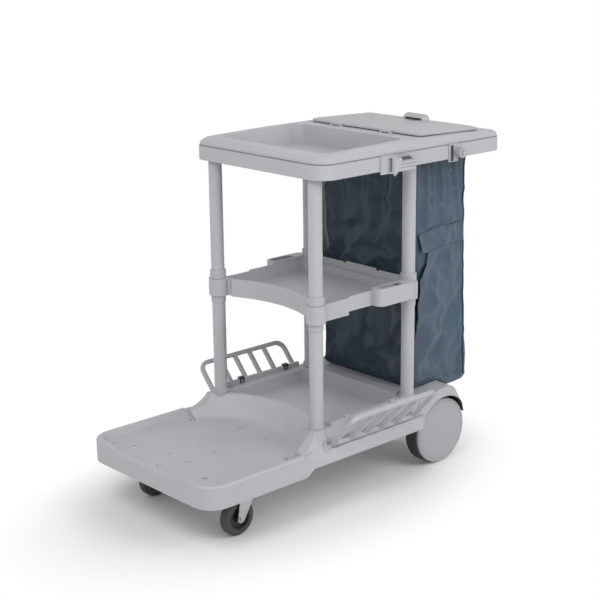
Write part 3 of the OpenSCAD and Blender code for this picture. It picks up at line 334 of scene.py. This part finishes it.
soften("clip_arm_moulding", "clip_arm", 0.0006, satin_grey, form=finger_notch)


# Black strips, painted shade: one lies on the arm's slope, in place of the shaded inside of the arm's channel, and
# one stands on the roller's bracket, in place of the shaded gap beside the roller.
slope = [(-0.2876, 0.9490), (-0.2876, 0.9497), (-0.2772, 0.9561), (-0.2772, 0.9554)]
upright = [(-0.2699, 0.9180), (-0.2722, 0.9180), (-0.2722, 0.9615), (-0.2699, 0.9615)]
for name, node, section, start, end in (
    ("clip_arm_shade_strip", "clip_arm", slope, 0.112, 0.149),
    ("roller_shade_strip", "roller_bracket", upright, 0.3225, 0.3315),
):
    strip_points = [(x, y, z) for x in (start, end) for y, z in section]
    shaped(name, strip_points, bar_faces, painted_shade_black, node)


# Rear wheels: grey cores in the mouldings' plastic with solid rubber tyres. A flat cap with a
# rolled border and a fine groove is snapped over each core.
cap_grey = moulded_polypropylene("cap_grey_polypropylene", "#a8a9ac", "#a0a1a4", 0.5)
for node in ("left_wheel", "right_wheel", "roller"):
    refinish(node, cap_grey)
# The cap's section from its inside, round the border and over the groove to its face: distance in
# from the rim, and depth below the face. Both ends run on to the axis.
cap_section = [
    (0.0052, 0.0032), (0.0030, 0.0055), (0.0030, 0.0092), (0.0, 0.0092), (0.0, 0.0048),
    (0.0004, 0.0032), (0.0014, 0.0020), (0.0030, 0.0013), (0.0050, 0.0010), (0.0072, 0.0011),
    (0.0080, 0.0022), (0.0098, 0.0022), (0.0106, 0.0011), (0.0140, 0.0008), (0.0500, 0.0002),
]
cap_wall, cap_steps = 0.0025, 120
for turn, side in sides:
    low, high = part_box(side + "_hub_cap")
    cap_x, cap_z, cap_r = (low[0] + high[0]) / 2, (low[2] + high[2]) / 2, (high[0] - low[0]) / 2
    face_y = max(abs(low[1]), abs(high[1]))
    points = [(cap_x, turn * (face_y - cap_wall), cap_z), (cap_x, turn * face_y, cap_z)]
    faces = []
    for k in range(cap_steps):
        angle = math.radians(360 / cap_steps * k)
        for inset, depth in cap_section:
            r = cap_r - inset
            points.append((cap_x + r * math.cos(angle), turn * (face_y - depth), cap_z + r * math.sin(angle)))
    count = len(cap_section)
    for k in range(cap_steps):
        a, b = 2 + k * count, 2 + (k + 1) % cap_steps * count
        faces += [(0, a, b), (1, b + count - 1, a + count - 1)]
        faces += [(a + i, a + i + 1, b + i + 1, b + i) for i in range(count - 1)]
    cap = shaped(side + "_hub_cap_moulding", points, faces, cap_grey, side + "_hub_cap")
    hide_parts(side + "_hub_cap")


def moulded_rubber(name, pale, dark):
    """Solid moulded rubber: dark and matt, greyed by dust in patches about 15 mm wide, with
    pores drawn at 2 mm, larger than the real ones."""
    made, tree, shader, place = new_material(name)
    dust_scale, pore_scale = 60.0, 500.0
    dust = put(tree, "ShaderNodeTexNoise", {"Vector": place, "Scale": dust_scale, "Detail": 4.0}).outputs["Fac"]
    tone = put(tree, "ShaderNodeMix", {"Factor": dust, "A": srgb(dark), "B": srgb(pale)}, data_type="RGBA")
    tree.links.new(tone.outputs["Result"], shader.inputs["Base Color"])
    pores = put(tree, "ShaderNodeTexNoise", {"Vector": place, "Scale": pore_scale, "Detail": 2.0}).outputs["Fac"]
    skin = put(tree, "ShaderNodeBump", {"Height": pores, "Strength": 0.2, "Distance": 0.0005})
    tree.links.new(skin.outputs["Normal"], shader.inputs["Normal"])
    shader.inputs["Roughness"].default_value = 0.62
    shader.inputs["IOR"].default_value = 1.52
    return made


tyre_rubber = moulded_rubber("black_tyre_rubber", "#343535", "#232424")
for node in ("left_tyre", "right_tyre"):
    refinish(node, tyre_rubber)


# Casters: dark grey rubber treads on black cores, in forks of pressed steel with bright zinc.
# The axle, the pins and the bag's rails have the same plating.
tread_rubber = moulded_rubber("grey_caster_rubber", "#484744", "#333331")
core_black = moulded_polypropylene("black_caster_core", "#2b2b2c", "#1f1f20", 0.4)
for side in ("left", "right"):
    refinish(side + "_caster_tyre", tread_rubber)
    refinish(side + "_caster_hub", core_black)


def zinc_plate(name):
    """Bright zinc plating on steel: cool silver with a faint mottling of 4 mm crystals."""
    made, tree, shader, place = new_material(name)
    crystal_scale = 260.0
    crystal = put(tree, "ShaderNodeTexVoronoi", {"Vector": place, "Scale": crystal_scale}).outputs["Color"]
    tone = put(
        tree, "ShaderNodeMix", {"Factor": crystal, "A": srgb("#a9acb0"), "B": srgb("#c4c6c9")}, data_type="RGBA"
    )
    tree.links.new(tone.outputs["Result"], shader.inputs["Base Color"])
    rough = put(tree, "ShaderNodeMapRange", {"Value": crystal, "To Min": 0.26, "To Max": 0.38})
    tree.links.new(rough.outputs["Result"], shader.inputs["Roughness"])
    shader.inputs["Metallic"].default_value = 1.0
    return made


zinc = zinc_plate("bright_zinc_plate")
plated = ("rear_axle", "axle_spacers", "axle_caps", "bag_rails", "caster_bolts")
plated_kinds = ("_pin", "_pins", "_plate", "_race", "_kingpin", "_fork", "_caster_axle")
for node in nodes:
    if node in plated or node.endswith(plated_kinds):
        refinish(node, zinc)


# Waste bag: sewn from coated nylon cloth and hung by hem sleeves on the two rails. Its sides
# gather below the hem, its foot sags behind the deck, and its piping is a darker tape.
bag_low, bag_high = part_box("bag")
rail_low, rail_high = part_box("bag_rails")
# The plain form that the folds stand out from: its front, its back at the sagging foot and above,
# half its width, the height that it rests at, and the rails' centre lines.
bag_front = bag_low[0] + 0.0022
bag_foot = bag_high[0] + 0.003
bag_back = bag_foot - 0.021
bag_side = 0.1865
bag_rest = bag_low[2] + 0.0214
hem_z = (rail_low[2] + rail_high[2]) / 2
rail_y = rail_high[1] - (rail_high[2] - rail_low[2]) / 2
# The share of the height that the sag fades out over, and the thickness that the cloth is drawn with.
sag_share, cloth_t = 0.55, 0.0012


def woven_nylon(name, pale, dark, roughness, front_shade=1.0):
    """Coated nylon cloth: half gloss, worn paler in patches about 150 mm wide, with fine wrinkles 17 mm wide and a
    plain weave drawn at 1.6 mm, coarser than the real 0.4 mm thread. At the bag's front, behind the shelf, the cloth
    gets a painted shade: its tone is multiplied by the last argument and its reflection is weakened."""
    made, tree, shader, place = new_material(name)
    # A wave's period is 0.314 m over its scale, so 196 draws 1.6 mm.
    wear_scale, wrinkle_scale, thread_scale = 6.5, 60.0, 196.0
    thread = put(tree, "ShaderNodeUVMap", uv_map="cloth").outputs["UV"]
    worn = put(tree, "ShaderNodeTexNoise", {"Vector": place, "Scale": wear_scale, "Detail": 5.0}).outputs["Fac"]
    tone = put(tree, "ShaderNodeMix", {"Factor": worn, "A": srgb(dark), "B": srgb(pale)}, data_type="RGBA")
    warp, weft = [
        put(tree, "ShaderNodeTexWave", {"Vector": thread, "Scale": thread_scale}, bands_direction=way).outputs["Fac"]
        for way in ("X", "Y")
    ]
    weave = put(tree, "ShaderNodeMath", {0: warp, 1: weft}, operation="ADD").outputs["Value"]
    pores = put(
        tree, "ShaderNodeMapRange", {"Value": weave, "From Max": 2.0, "To Min": 0.9, "To Max": 1.06}
    ).outputs["Result"]
    shaded = put(tree, "ShaderNodeVectorMath", {0: tone.outputs["Result"], 1: pores}, operation="MULTIPLY")
    along = put(tree, "ShaderNodeSeparateXYZ", {0: place}).outputs["X"]
    # Painted shade on the bag's front: the darker tone fades out over 15 mm round the front corner, and the front's
    # reflection is weakened there as well.
    painted_front_shade = put(
        tree, "ShaderNodeMapRange", {"Value": along, "From Min": 0.27, "From Max": 0.285, "To Min": front_shade}
    ).outputs["Result"]
    cloth_tone = put(tree, "ShaderNodeVectorMath", {0: shaded.outputs["Vector"], 1: painted_front_shade}, operation="MULTIPLY")
    tree.links.new(cloth_tone.outputs["Vector"], shader.inputs["Base Color"])
    if front_shade < 1.0:
        sheen = put(tree, "ShaderNodeMapRange", {"Value": painted_front_shade, "To Min": 0.0, "To Max": 0.5}).outputs["Result"]
        tree.links.new(sheen, shader.inputs["Specular IOR Level"])
    gloss = put(
        tree,
        "ShaderNodeMapRange",
        {"Value": worn, "From Min": 0.3, "From Max": 0.7, "To Min": roughness - 0.06, "To Max": roughness + 0.08},
    )
    tree.links.new(gloss.outputs["Result"], shader.inputs["Roughness"])
    wrinkle = put(
        tree, "ShaderNodeTexNoise", {"Vector": place, "Scale": wrinkle_scale, "Detail": 3.0}
    ).outputs["Fac"]
    facets = put(tree, "ShaderNodeBump", {"Height": wrinkle, "Strength": 0.3, "Distance": 0.003})
    cloth = put(
        tree,
        "ShaderNodeBump",
        {"Height": weave, "Strength": 0.2, "Distance": 0.0004, "Normal": facets.outputs["Normal"]},
    )
    tree.links.new(cloth.outputs["Normal"], shader.inputs["Normal"])
    shader.inputs["IOR"].default_value = 1.46
    return made


def ripple(places, size, seed):
    """Smooth swells about size metres wide, from -1 to 1."""
    shift = Vector((seed, -0.7 * seed, 0.4 * seed))
    return np.array([noise.noise(Vector(p) / size + shift) for p in places])


def creases(places, size, seed):
    """Narrow branching creases size metres apart, 1 on a crease and 0 between."""
    bend = np.stack([ripple(places, size * 1.4, seed + 7.1 * k) for k in range(3)], 1) * size * 0.35
    return (1 - 2.2 * np.abs(ripple(places + bend, size, seed + 31))).clip(0, 1) ** 2


def crumples(places, size, seed):
    """Flat-sided dents about size metres wide with sharp ridges between, 0 in a dent, near 1 on a ridge."""
    bend = np.stack([ripple(places, size * 1.2, seed + 5.3 * k) for k in range(3)], 1) * size * 0.4
    shift = Vector((seed, 0.6 * seed, -0.8 * seed))
    return np.array([noise.voronoi(Vector(p) / size + shift)[0][0] for p in places + bend])


# An end goes over into a side between turn_y and side_y. Within tape_hold of an upright edge the tape
# flattens the folds, down to tape_share of their depth.
turn_y, side_y, tape_hold, tape_share = 0.150, 0.178, 0.035, 0.3
side_gathers, end_gathers = 11, 8


def bag_folds(places):
    """How far the hanging cloth stands out from its plain form, in metres."""
    x, y, z = places.T
    tall = places * [1, 1, 0.55]
    left, right = ease(turn_y, side_y, -y), ease(turn_y, side_y, y)
    depth = 0.0100 * ripple(tall, 0.14, 3.0) + 0.0060 * ripple(places, 0.075, 11.0)
    depth -= 0.0085 * creases(tall, 0.13, 5.0) * (0.4 + 0.6 * ease(0.85, 0.45, z))
    depth += 0.0045 * creases(places, 0.085, 23.0)
    depth += 0.0105 * (crumples(places, 0.060, 13.0) - 0.45)
    # The tape holds the upright edges straighter than the panels between them.
    rear = bag_foot - (bag_foot - bag_back) * ease(0.0, sag_share, (z - bag_rest) / (hem_z - bag_rest))
    side_free = ease(0.0, tape_hold, x - bag_front) * ease(0.0, tape_hold, rear - x)
    end_free = ease(0.0, tape_hold, bag_side - abs(y))
    depth *= tape_share + (1 - tape_share) * ((left + right) * side_free + (1 - left - right) * end_free)
    # Gathers run down from the hem and spread out, closer on the sides than on the ends.
    high = ease(0.70, 0.92, z)
    for k in range(side_gathers):
        fold_x = (0.302 + 0.0185 * k) * (1 - high) + (0.300 + 0.0155 * k) * high
        wide = (0.0075 + 0.002 * math.sin(2.3 * k)) * (2.3 - 1.3 * high)
        size = (0.0070 + 0.002 * math.sin(1.7 * k)) * (1 if k % 2 else -0.8)
        reach = ease(0.66 + 0.03 * math.sin(4.1 * k), 0.84, z)
        depth += size * reach * np.exp(-(((x - fold_x) / wide) ** 2)) * left
        depth += size * reach * np.exp(-(((x - fold_x - 0.007) / wide) ** 2)) * right
    for k in range(end_gathers):
        fold_y = (-0.165 + 0.047 * k) * (0.8 + 0.2 * high) + 0.012 * math.sin(2.9 * k)
        wide = (0.013 + 0.003 * math.sin(1.9 * k)) * (2.0 - high)
        size = 0.006 * (1 if k % 2 else -0.9)
        reach = ease(0.50 + 0.06 * math.sin(3.3 * k), 0.86, z)
        depth += size * reach * np.exp(-(((y - fold_y) / wide) ** 2)) * (1 - left) * (1 - right)
    return depth


def hung_cloth(name, rows, flat_uv, material, thickness, closed):
    """A mesh from rows of points, with its cloth coordinates in metres and a real thickness."""
    count = len(rows[0])
    wrap = count if closed else count - 1
    faces = [
        (j * count + i, j * count + (i + 1) % count, (j + 1) * count + (i + 1) % count, (j + 1) * count + i)
        for j in range(len(rows) - 1)
        for i in range(wrap)
    ]
    mesh = bpy.data.meshes.new(name)
    mesh.from_pydata([tuple(p) for row in rows for p in row], [], faces)
    layer = mesh.uv_layers.new(name="cloth")
    for face in mesh.polygons:
        for loop in face.loop_indices:
            layer.data[loop].uv = flat_uv[mesh.loops[loop].vertex_index]
    mesh.shade_smooth()
    piece = add_piece(name, mesh)
    wall = piece.modifiers.new("cloth_thickness", "SOLIDIFY")
    wall.thickness = thickness
    wall.offset = -1.0
    apply_modifiers(piece).materials.append(material)
    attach(piece, nodes["bag"]["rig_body"])
    return piece


# The bag's cloth gets a painted shade on its front, where its tone is multiplied by 0.62.
slate_nylon = woven_nylon("slate_coated_nylon", "#455a6c", "#384a5a", 0.33, front_shade=0.62)
ring_count, ring_rows, corner = 236, 150, 0.007


def ring_line(front, rear, side):
    """Evenly spaced points and outward directions round a rectangle with round corners."""
    spots, ways = [], []
    for cx, cy, turn in (
        (front + corner, -side + corner, 180),
        (rear - corner, -side + corner, 270),
        (rear - corner, side - corner, 0),
        (front + corner, side - corner, 90),
    ):
        for k in range(9):
            angle = math.radians(turn + 90 * k / 8)
            ways.append((math.cos(angle), math.sin(angle)))
            spots.append((cx + corner * ways[-1][0], cy + corner * ways[-1][1]))
    spots, ways = np.array(spots + spots[:1]), np.array(ways + ways[:1])
    run = np.concatenate([[0], np.cumsum(np.linalg.norm(np.diff(spots, axis=0), axis=1))])
    at = np.linspace(0, run[-1], ring_count, endpoint=False)
    spots = np.stack([np.interp(at, run, spots[:, i]) for i in (0, 1)], 1)
    ways = np.stack([np.interp(at, run, ways[:, i]) for i in (0, 1)], 1)
    return spots, ways / np.linalg.norm(ways, axis=1)[:, None], at


# The bottom is made of rings round its middle, and hangs lower behind the deck's rear edge.
floor_rings = 6
foot_x = [0.389, 0.400, 0.412, 0.424, 0.456, 0.479, 0.504]
foot_drop = [0, 0.010, 0.0185, 0.0240, 0.0235, 0.0220, 0.0190]
bag_rows, bag_uv = [], []
for share in np.concatenate([np.full(floor_rings, -1.0), np.linspace(0, 1, ring_rows)]):
    rise = max(share, 0.0)
    sag = (bag_foot - bag_back) * (1 - ease(0.0, sag_share, rise))
    tuck = 0.006 * (1 - ease(0.0, 0.018, rise))
    spots, ways, at = ring_line(bag_front + tuck, bag_back + sag - tuck, bag_side - tuck)
    shrink = 1.0 if share >= 0 else (len(bag_rows) + 0.02) / floor_rings
    middle = np.array(((bag_front + bag_foot) / 2, 0.0))
    spots = middle + (spots - middle) * shrink
    x, out_y = spots[:, 0], abs(spots[:, 1])
    low = bag_rest - np.interp(x, foot_x, foot_drop)
    # The hem lies over the rails, its free edges between them hang as high, and the front one
    # stands behind the mouth's rim.
    on_rail = ease(0.268, 0.281, x) * ease(0.476, 0.463, x) * ease(0.17, 0.183, out_y)
    free_edge = ease(0.176, 0.160, out_y)
    behind_rim = 0.014 * free_edge * ease(0.290, 0.275, x)
    top = hem_z - 0.011 + 0.0105 * np.maximum(on_rail, free_edge) + behind_rim
    places = np.column_stack([spots, low + (top - low) * rise])
    if share >= 0:
        held = ease(0.0, 0.05, rise) * (1 - 0.75 * ease(0.955, 1.0, rise))
        out = bag_folds(places) * held - 0.001
        flare = (rail_y + 0.0052 - bag_side) * ease(hem_z - 0.040, hem_z, places[:, 2]) * on_rail
        places[:, :2] += ways * out[:, None]
        places[:, 1] += np.sign(places[:, 1]) * flare
        # The right side hangs slack in its upper half and is drawn in below.
        z = places[:, 2]
        slack = 0.014 * ease(0.50, 0.75, z) * (1 - on_rail) - 0.010 * ease(0.55, 0.35, z) * held
        places[:, 1] += np.clip(places[:, 1] / bag_side, 0, 1) ** 2 * slack
    bag_rows.append(places)
    bag_uv += list(zip(at, places[:, 2] if share >= 0 else 0.24 * shrink + 0 * at))
bag_shell = hung_cloth("bag_shell", bag_rows, bag_uv, slate_nylon, cloth_t, True)
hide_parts("bag")


# Hem sleeves: the cloth's upper hem, turned round each rail and sewn down, with the rail
# free to slide through it. A darker tape binds the bag's four upright edges.
tape_nylon = woven_nylon("navy_binding_tape", "#2d3742", "#252d37", 0.5)
sleeve_start, sleeve_end, sleeve_r, sleeve_t = 0.274, 0.470, 0.0058, -0.0011
tape_r, tape_t, tape_out = 0.0017, 0.0007, 0.0004
for turn, side in sides:
    sleeve_rows, sleeve_uv = [], []
    for x in np.linspace(sleeve_start, sleeve_end, 90):
        wide = sleeve_r + 0.0004 * noise.noise(Vector((x / 0.009, turn * 3.0, 0.0)))
        around = np.radians(np.arange(0, 360, 20))
        sleeve_rows.append(
            np.column_stack([0 * around + x, turn * rail_y + wide * np.sin(around), hem_z + wide * np.cos(around)])
        )
        sleeve_uv += [(x, 0.006 * a) for a in around]
    hung_cloth(side + "_hem_sleeve", sleeve_rows, sleeve_uv, slate_nylon, sleeve_t, True)


def bound_edge(name, path):
    """A rolled tape of round section along a path."""
    rows, uv = [], []
    run = 0.0
    ring = [math.radians(45 * i) for i in range(8)]
    for k, here in enumerate(path):
        behind, before = Vector(path[max(k - 1, 0)]), Vector(path[min(k + 1, len(path) - 1)])
        ahead = (before - behind).normalized()
        out = ahead.cross(Vector((0.0, 0.0, 1.0)) if abs(ahead.z) < 0.9 else Vector((1.0, 0.0, 0.0))).normalized()
        up = out.cross(ahead)
        run += (Vector(here) - behind).length
        rows.append([Vector(here) + tape_r * (math.cos(a) * out + math.sin(a) * up) for a in ring])
        uv += [(run, tape_r * a) for a in ring]
    return hung_cloth(name, rows, uv, tape_nylon, tape_t, True)


for name, way in (
    ("front_left_binding", (-1, -1)),
    ("rear_left_binding", (1, -1)),
    ("rear_right_binding", (1, 1)),
    ("front_right_binding", (-1, 1)),
):
    spots, ways, at = ring_line(bag_front, bag_back, bag_side)
    edge_column = int(np.argmax(ways @ np.array(way)))
    step = np.array((*way, 0.0)) * tape_out
    bound_edge(name, [row[edge_column] + step for row in bag_rows[10:-2:2]])


# Pocket and flap: a panel sewn to the bag's left side along its rear and its foot, gaping at
# its free front edge, and a flap sewn above it that hangs over its mouth.


def left_skin(x, z, lift):
    """The bag's left side at points of it, moved out by lift."""
    flat = np.column_stack([x, 0 * x - bag_side, z])
    held = ease(bag_rest, bag_rest + 0.035, z)
    return np.column_stack([x, -(bag_side + bag_folds(flat) * held - 0.001 + lift), z])


pocket_gap, pocket_top, pocket_rear = 0.014, 0.668, 0.476
# The free front edge leans back towards its top, by height, and gapes most at two thirds of it.
front_z, front_x = [0.255, 0.405, 0.568, 0.643, 0.668], [0.270, 0.271, 0.283, 0.317, 0.345]
gape_v, gape_depth = [0, 0.3, 0.62, 0.8, 0.93, 1], [0.001, 0.005, 0.012, 0.010, 0.005, 0.003]
pocket_rows, pocket_uv = [], []
for v in np.linspace(0, 1, 100):
    u = np.linspace(0, 1, 56)
    z = bag_rest + pocket_gap + (pocket_top - bag_rest - pocket_gap) * v
    start = np.interp(z, front_z, front_x)
    x = start + (pocket_rear - start) * u
    loose = np.sin(np.pi * u) * math.sin(math.pi * min(1.0, 1.1 * v))
    gape = np.interp(v, gape_v, gape_depth)
    lift = 0.0020 + gape * (1 - u) ** 3 + 0.003 * ease(0.85, 1.0, v) * np.sin(np.pi * u)
    places = np.column_stack([x, 0 * x, 0 * x + z])
    lift += loose * (0.004 + 0.004 * ripple(places, 0.07, 41.0) + 0.0045 * creases(places, 0.075, 47.0))
    pocket_rows.append(left_skin(x, 0 * x + z, lift))
    pocket_uv += [(p[0], p[2]) for p in pocket_rows[-1]]
bag_pocket = hung_cloth("bag_pocket", pocket_rows, pocket_uv, slate_nylon, cloth_t, False)

flap_start, flap_width = 0.286, 0.190
sewn_x, sewn_z = [0.286, 0.342, 0.474], [0.701, 0.715, 0.713]
hanging_x, hanging_z = [0.285, 0.314, 0.360, 0.448, 0.474], [0.649, 0.647, 0.662, 0.655, 0.656]
flap_rows, flap_uv = [], []
for v in np.linspace(0, 1, 24):
    u = np.linspace(0, 1, 60)
    x = flap_start + flap_width * u
    upper, under = np.interp(x, sewn_x, sewn_z), np.interp(x, hanging_x, hanging_z)
    z = under + (upper - under) * v
    places = np.column_stack([x, 0 * x, z])
    lift = 0.0026 + 0.0095 * (1 - v) ** 0.7 * (0.65 + 0.35 * (1 - u) ** 2)
    lift += 0.0015 * (1 - v) * ripple(places, 0.04, 61.0)
    flap_rows.append(left_skin(x, z, lift))
    flap_uv += [(p[0], p[2]) for p in flap_rows[-1]]
bag_flap = hung_cloth("bag_pocket_flap", flap_rows, flap_uv, slate_nylon, cloth_t, False)


# Stitches: lockstitched seams in dark nylon thread along the pocket's rear and foot and the flap's
# upper edge. They are set along the cloth's own points, every 4.5 mm.
stitch_pitch, stitch_length, thread_r, thread_out = 0.0045, 0.0032, 0.00045, 0.0003
stitches = bpy.data.node_groups.new("sewn_stitches", "GeometryNodeTree")
stitches.interface.new_socket("Seam", in_out="INPUT", socket_type="NodeSocketGeometry")
stitch_inputs = [
    stitches.interface.new_socket(name, in_out="INPUT", socket_type=kind)
    for name, kind in (
        ("Stitch pitch", "NodeSocketFloat"),
        ("Stitch length", "NodeSocketFloat"),
        ("Thread radius", "NodeSocketFloat"),
        ("Thread", "NodeSocketMaterial"),
    )
]
stitches.interface.new_socket("Stitches", in_out="OUTPUT", socket_type="NodeSocketGeometry")
given = put(stitches, "NodeGroupInput").outputs
seam_curve = put(stitches, "GeometryNodeMeshToCurve", {"Mesh": given["Seam"]}).outputs["Curve"]
spaced = put(
    stitches, "GeometryNodeCurveToPoints", {"Curve": seam_curve, "Length": given["Stitch pitch"]}, mode="LENGTH"
).outputs
loop = put(stitches, "GeometryNodeMeshUVSphere", {"Segments": 6, "Rings": 5, "Radius": 1.0}).outputs["Mesh"]
half_long = put(
    stitches, "ShaderNodeMath", {0: given["Stitch length"], 1: 0.5}, operation="MULTIPLY"
).outputs["Value"]
stretch = put(
    stitches,
    "ShaderNodeCombineXYZ",
    {"X": given["Thread radius"], "Y": given["Thread radius"], "Z": half_long},
).outputs["Vector"]
sewn = put(
    stitches,
    "GeometryNodeInstanceOnPoints",
    {"Points": spaced["Points"], "Instance": loop, "Rotation": spaced["Rotation"], "Scale": stretch},
).outputs["Instances"]
real = put(stitches, "GeometryNodeRealizeInstances", {"Geometry": sewn}).outputs["Geometry"]
done = put(stitches, "GeometryNodeSetMaterial", {"Geometry": real, "Material": given["Thread"]}).outputs["Geometry"]
put(stitches, "NodeGroupOutput", {"Stitches": done})

out = np.array((0.0, -thread_out, 0.0))
points, links = [], []
for seam in ([row[-4] for row in pocket_rows], pocket_rows[3], flap_rows[-3]):
    links += [(len(points) + k, len(points) + k + 1) for k in range(len(seam) - 1)]
    points += [tuple(p + out) for p in seam]
seam_mesh = bpy.data.meshes.new("bag_stitches")
seam_mesh.from_pydata(points, links, [])
bag_stitches = add_piece("bag_stitches", seam_mesh)
sewing = bag_stitches.modifiers.new("sewing", "NODES")
sewing.node_group = stitches
for socket, value in zip(stitch_inputs, (stitch_pitch, stitch_length, thread_r, tape_nylon)):
    sewing[socket.identifier] = value
apply_modifiers(bag_stitches).shade_smooth()
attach(bag_stitches, nodes["bag"]["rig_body"])


# Studio: a pale floor that keeps the soft shadow and goes over into white, two wide soft lights
# from the left side and from the front, and the camera at the photograph's angle.
floor_reach = 40
floor_mesh = bpy.data.meshes.new("studio_floor")
floor_mesh.from_pydata(
    [(floor_reach * x, floor_reach * y, 0) for x, y in ((-1, -1), (1, -1), (1, 1), (-1, 1))], [], [(0, 1, 2, 3)]
)
add_piece("studio_floor", floor_mesh)


def seen_directly(tree):
    """1 for rays that show the background: from the camera, off metal or through glass."""
    ray = put(tree, "ShaderNodeLightPath").outputs
    glossy = put(
        tree, "ShaderNodeMath", {0: ray["Is Camera Ray"], 1: ray["Is Glossy Ray"]}, operation="MAXIMUM"
    ).outputs["Value"]
    return put(
        tree, "ShaderNodeMath", {0: glossy, 1: ray["Is Transmission Ray"]}, operation="MAXIMUM"
    ).outputs["Value"]


floor_paint, paint, matt, floor_place = new_material("white_studio_paint")
matt.inputs["Base Color"].default_value = srgb("#f4f4f4")
matt.inputs["Roughness"].default_value = 0.9
# The floor is plain paint under the cart, in an oval of 1.0 m by 0.6 m round a point 120 mm before
# its middle, and goes over into pure white by 1.8 m by 1.1 m.
oval = put(
    paint,
    "ShaderNodeVectorMath",
    {0: floor_place, 1: (2.0, 3.3, 0.0), 2: (0.24, 0.0, 0.0)},
    operation="MULTIPLY_ADD",
).outputs["Vector"]
reach = put(paint, "ShaderNodeVectorMath", {0: oval}, operation="LENGTH").outputs["Value"]
edge = put(
    paint,
    "ShaderNodeMapRange",
    {"Value": reach, "From Min": 1.0, "From Max": 1.8},
    interpolation_type="SMOOTHSTEP",
).outputs["Result"]
share = put(paint, "ShaderNodeMath", {0: edge, 1: seen_directly(paint)}, operation="MULTIPLY").outputs["Value"]
glow = put(paint, "ShaderNodeEmission", {"Color": (1.0, 1.0, 1.0, 1.0), "Strength": 1.0}).outputs["Emission"]
mixed = put(paint, "ShaderNodeMixShader", {0: share, 1: matt.outputs["BSDF"], 2: glow})
paint.links.new(mixed.outputs["Shader"], paint.nodes["Material Output"].inputs["Surface"])
floor_mesh.materials.append(floor_paint)

sky = bpy.data.worlds.new("studio_sky")
bpy.context.scene.world = sky
sky.use_nodes = True
room = sky.node_tree
back = room.nodes["Background"]
back.inputs["Color"].default_value = (1.0, 1.0, 1.0, 1.0)
way_up = put(
    room, "ShaderNodeSeparateXYZ", {0: put(room, "ShaderNodeTexCoord").outputs["Generated"]}
).outputs["Z"]
# The room is brighter at its walls than at its ceiling.
walls = put(room, "ShaderNodeMapRange", {"Value": way_up, "To Min": 0.7, "To Max": 0.38}).outputs["Result"]
level = put(room, "ShaderNodeMapRange", {"Value": seen_directly(room), "To Min": walls, "To Max": 1.0})
room.links.new(level.outputs["Result"], back.inputs["Strength"])


def softbox(name, place, aim, size, power):
    """A square area lamp that looks at a point."""
    lamp = bpy.data.lights.new(name, "AREA")
    lamp.size = size
    lamp.energy = power
    thing = add_piece(name, lamp)
    thing.location = place
    thing.rotation_mode = "QUATERNION"
    thing.rotation_quaternion = (Vector(aim) - Vector(place)).to_track_quat("-Z", "Y")


softbox("key_softbox", (0.9, -2.9, 2.4), (0.0, 0.0, 0.5), 2.0, 49.0)
softbox("front_softbox", (-2.4, -0.9, 2.9), (0.0, 0.0, 0.6), 2.0, 50.0)

camera = add_piece("studio_camera", bpy.data.cameras.new("studio_camera"))
camera.data.sensor_width = 36.0
camera.data.lens = 82.38
camera.data.clip_end = 100.0
azimuth, elevation, roll = math.radians(-42.422), math.radians(15.646), math.radians(-0.635)
looked_at, distance = Vector((0.0122, 0.0145, 0.5238)), 3.9041
away = Vector(
    (math.sin(azimuth) * math.cos(elevation), -math.cos(azimuth) * math.cos(elevation), math.sin(elevation))
)
right = (-away).cross(Vector((0, 0, 1))).normalized()
up = right.cross(-away)
across = right * math.cos(roll) + up * math.sin(roll)
upward = up * math.cos(roll) - right * math.sin(roll)
stand = looked_at + away * distance
camera.matrix_world = Matrix(
    [[across[i], upward[i], away[i], stand[i]] for i in range(3)] + [[0.0, 0.0, 0.0, 1.0]]
)
bpy.context.scene.camera = camera
bpy.context.scene.view_settings.view_transform = "Standard"
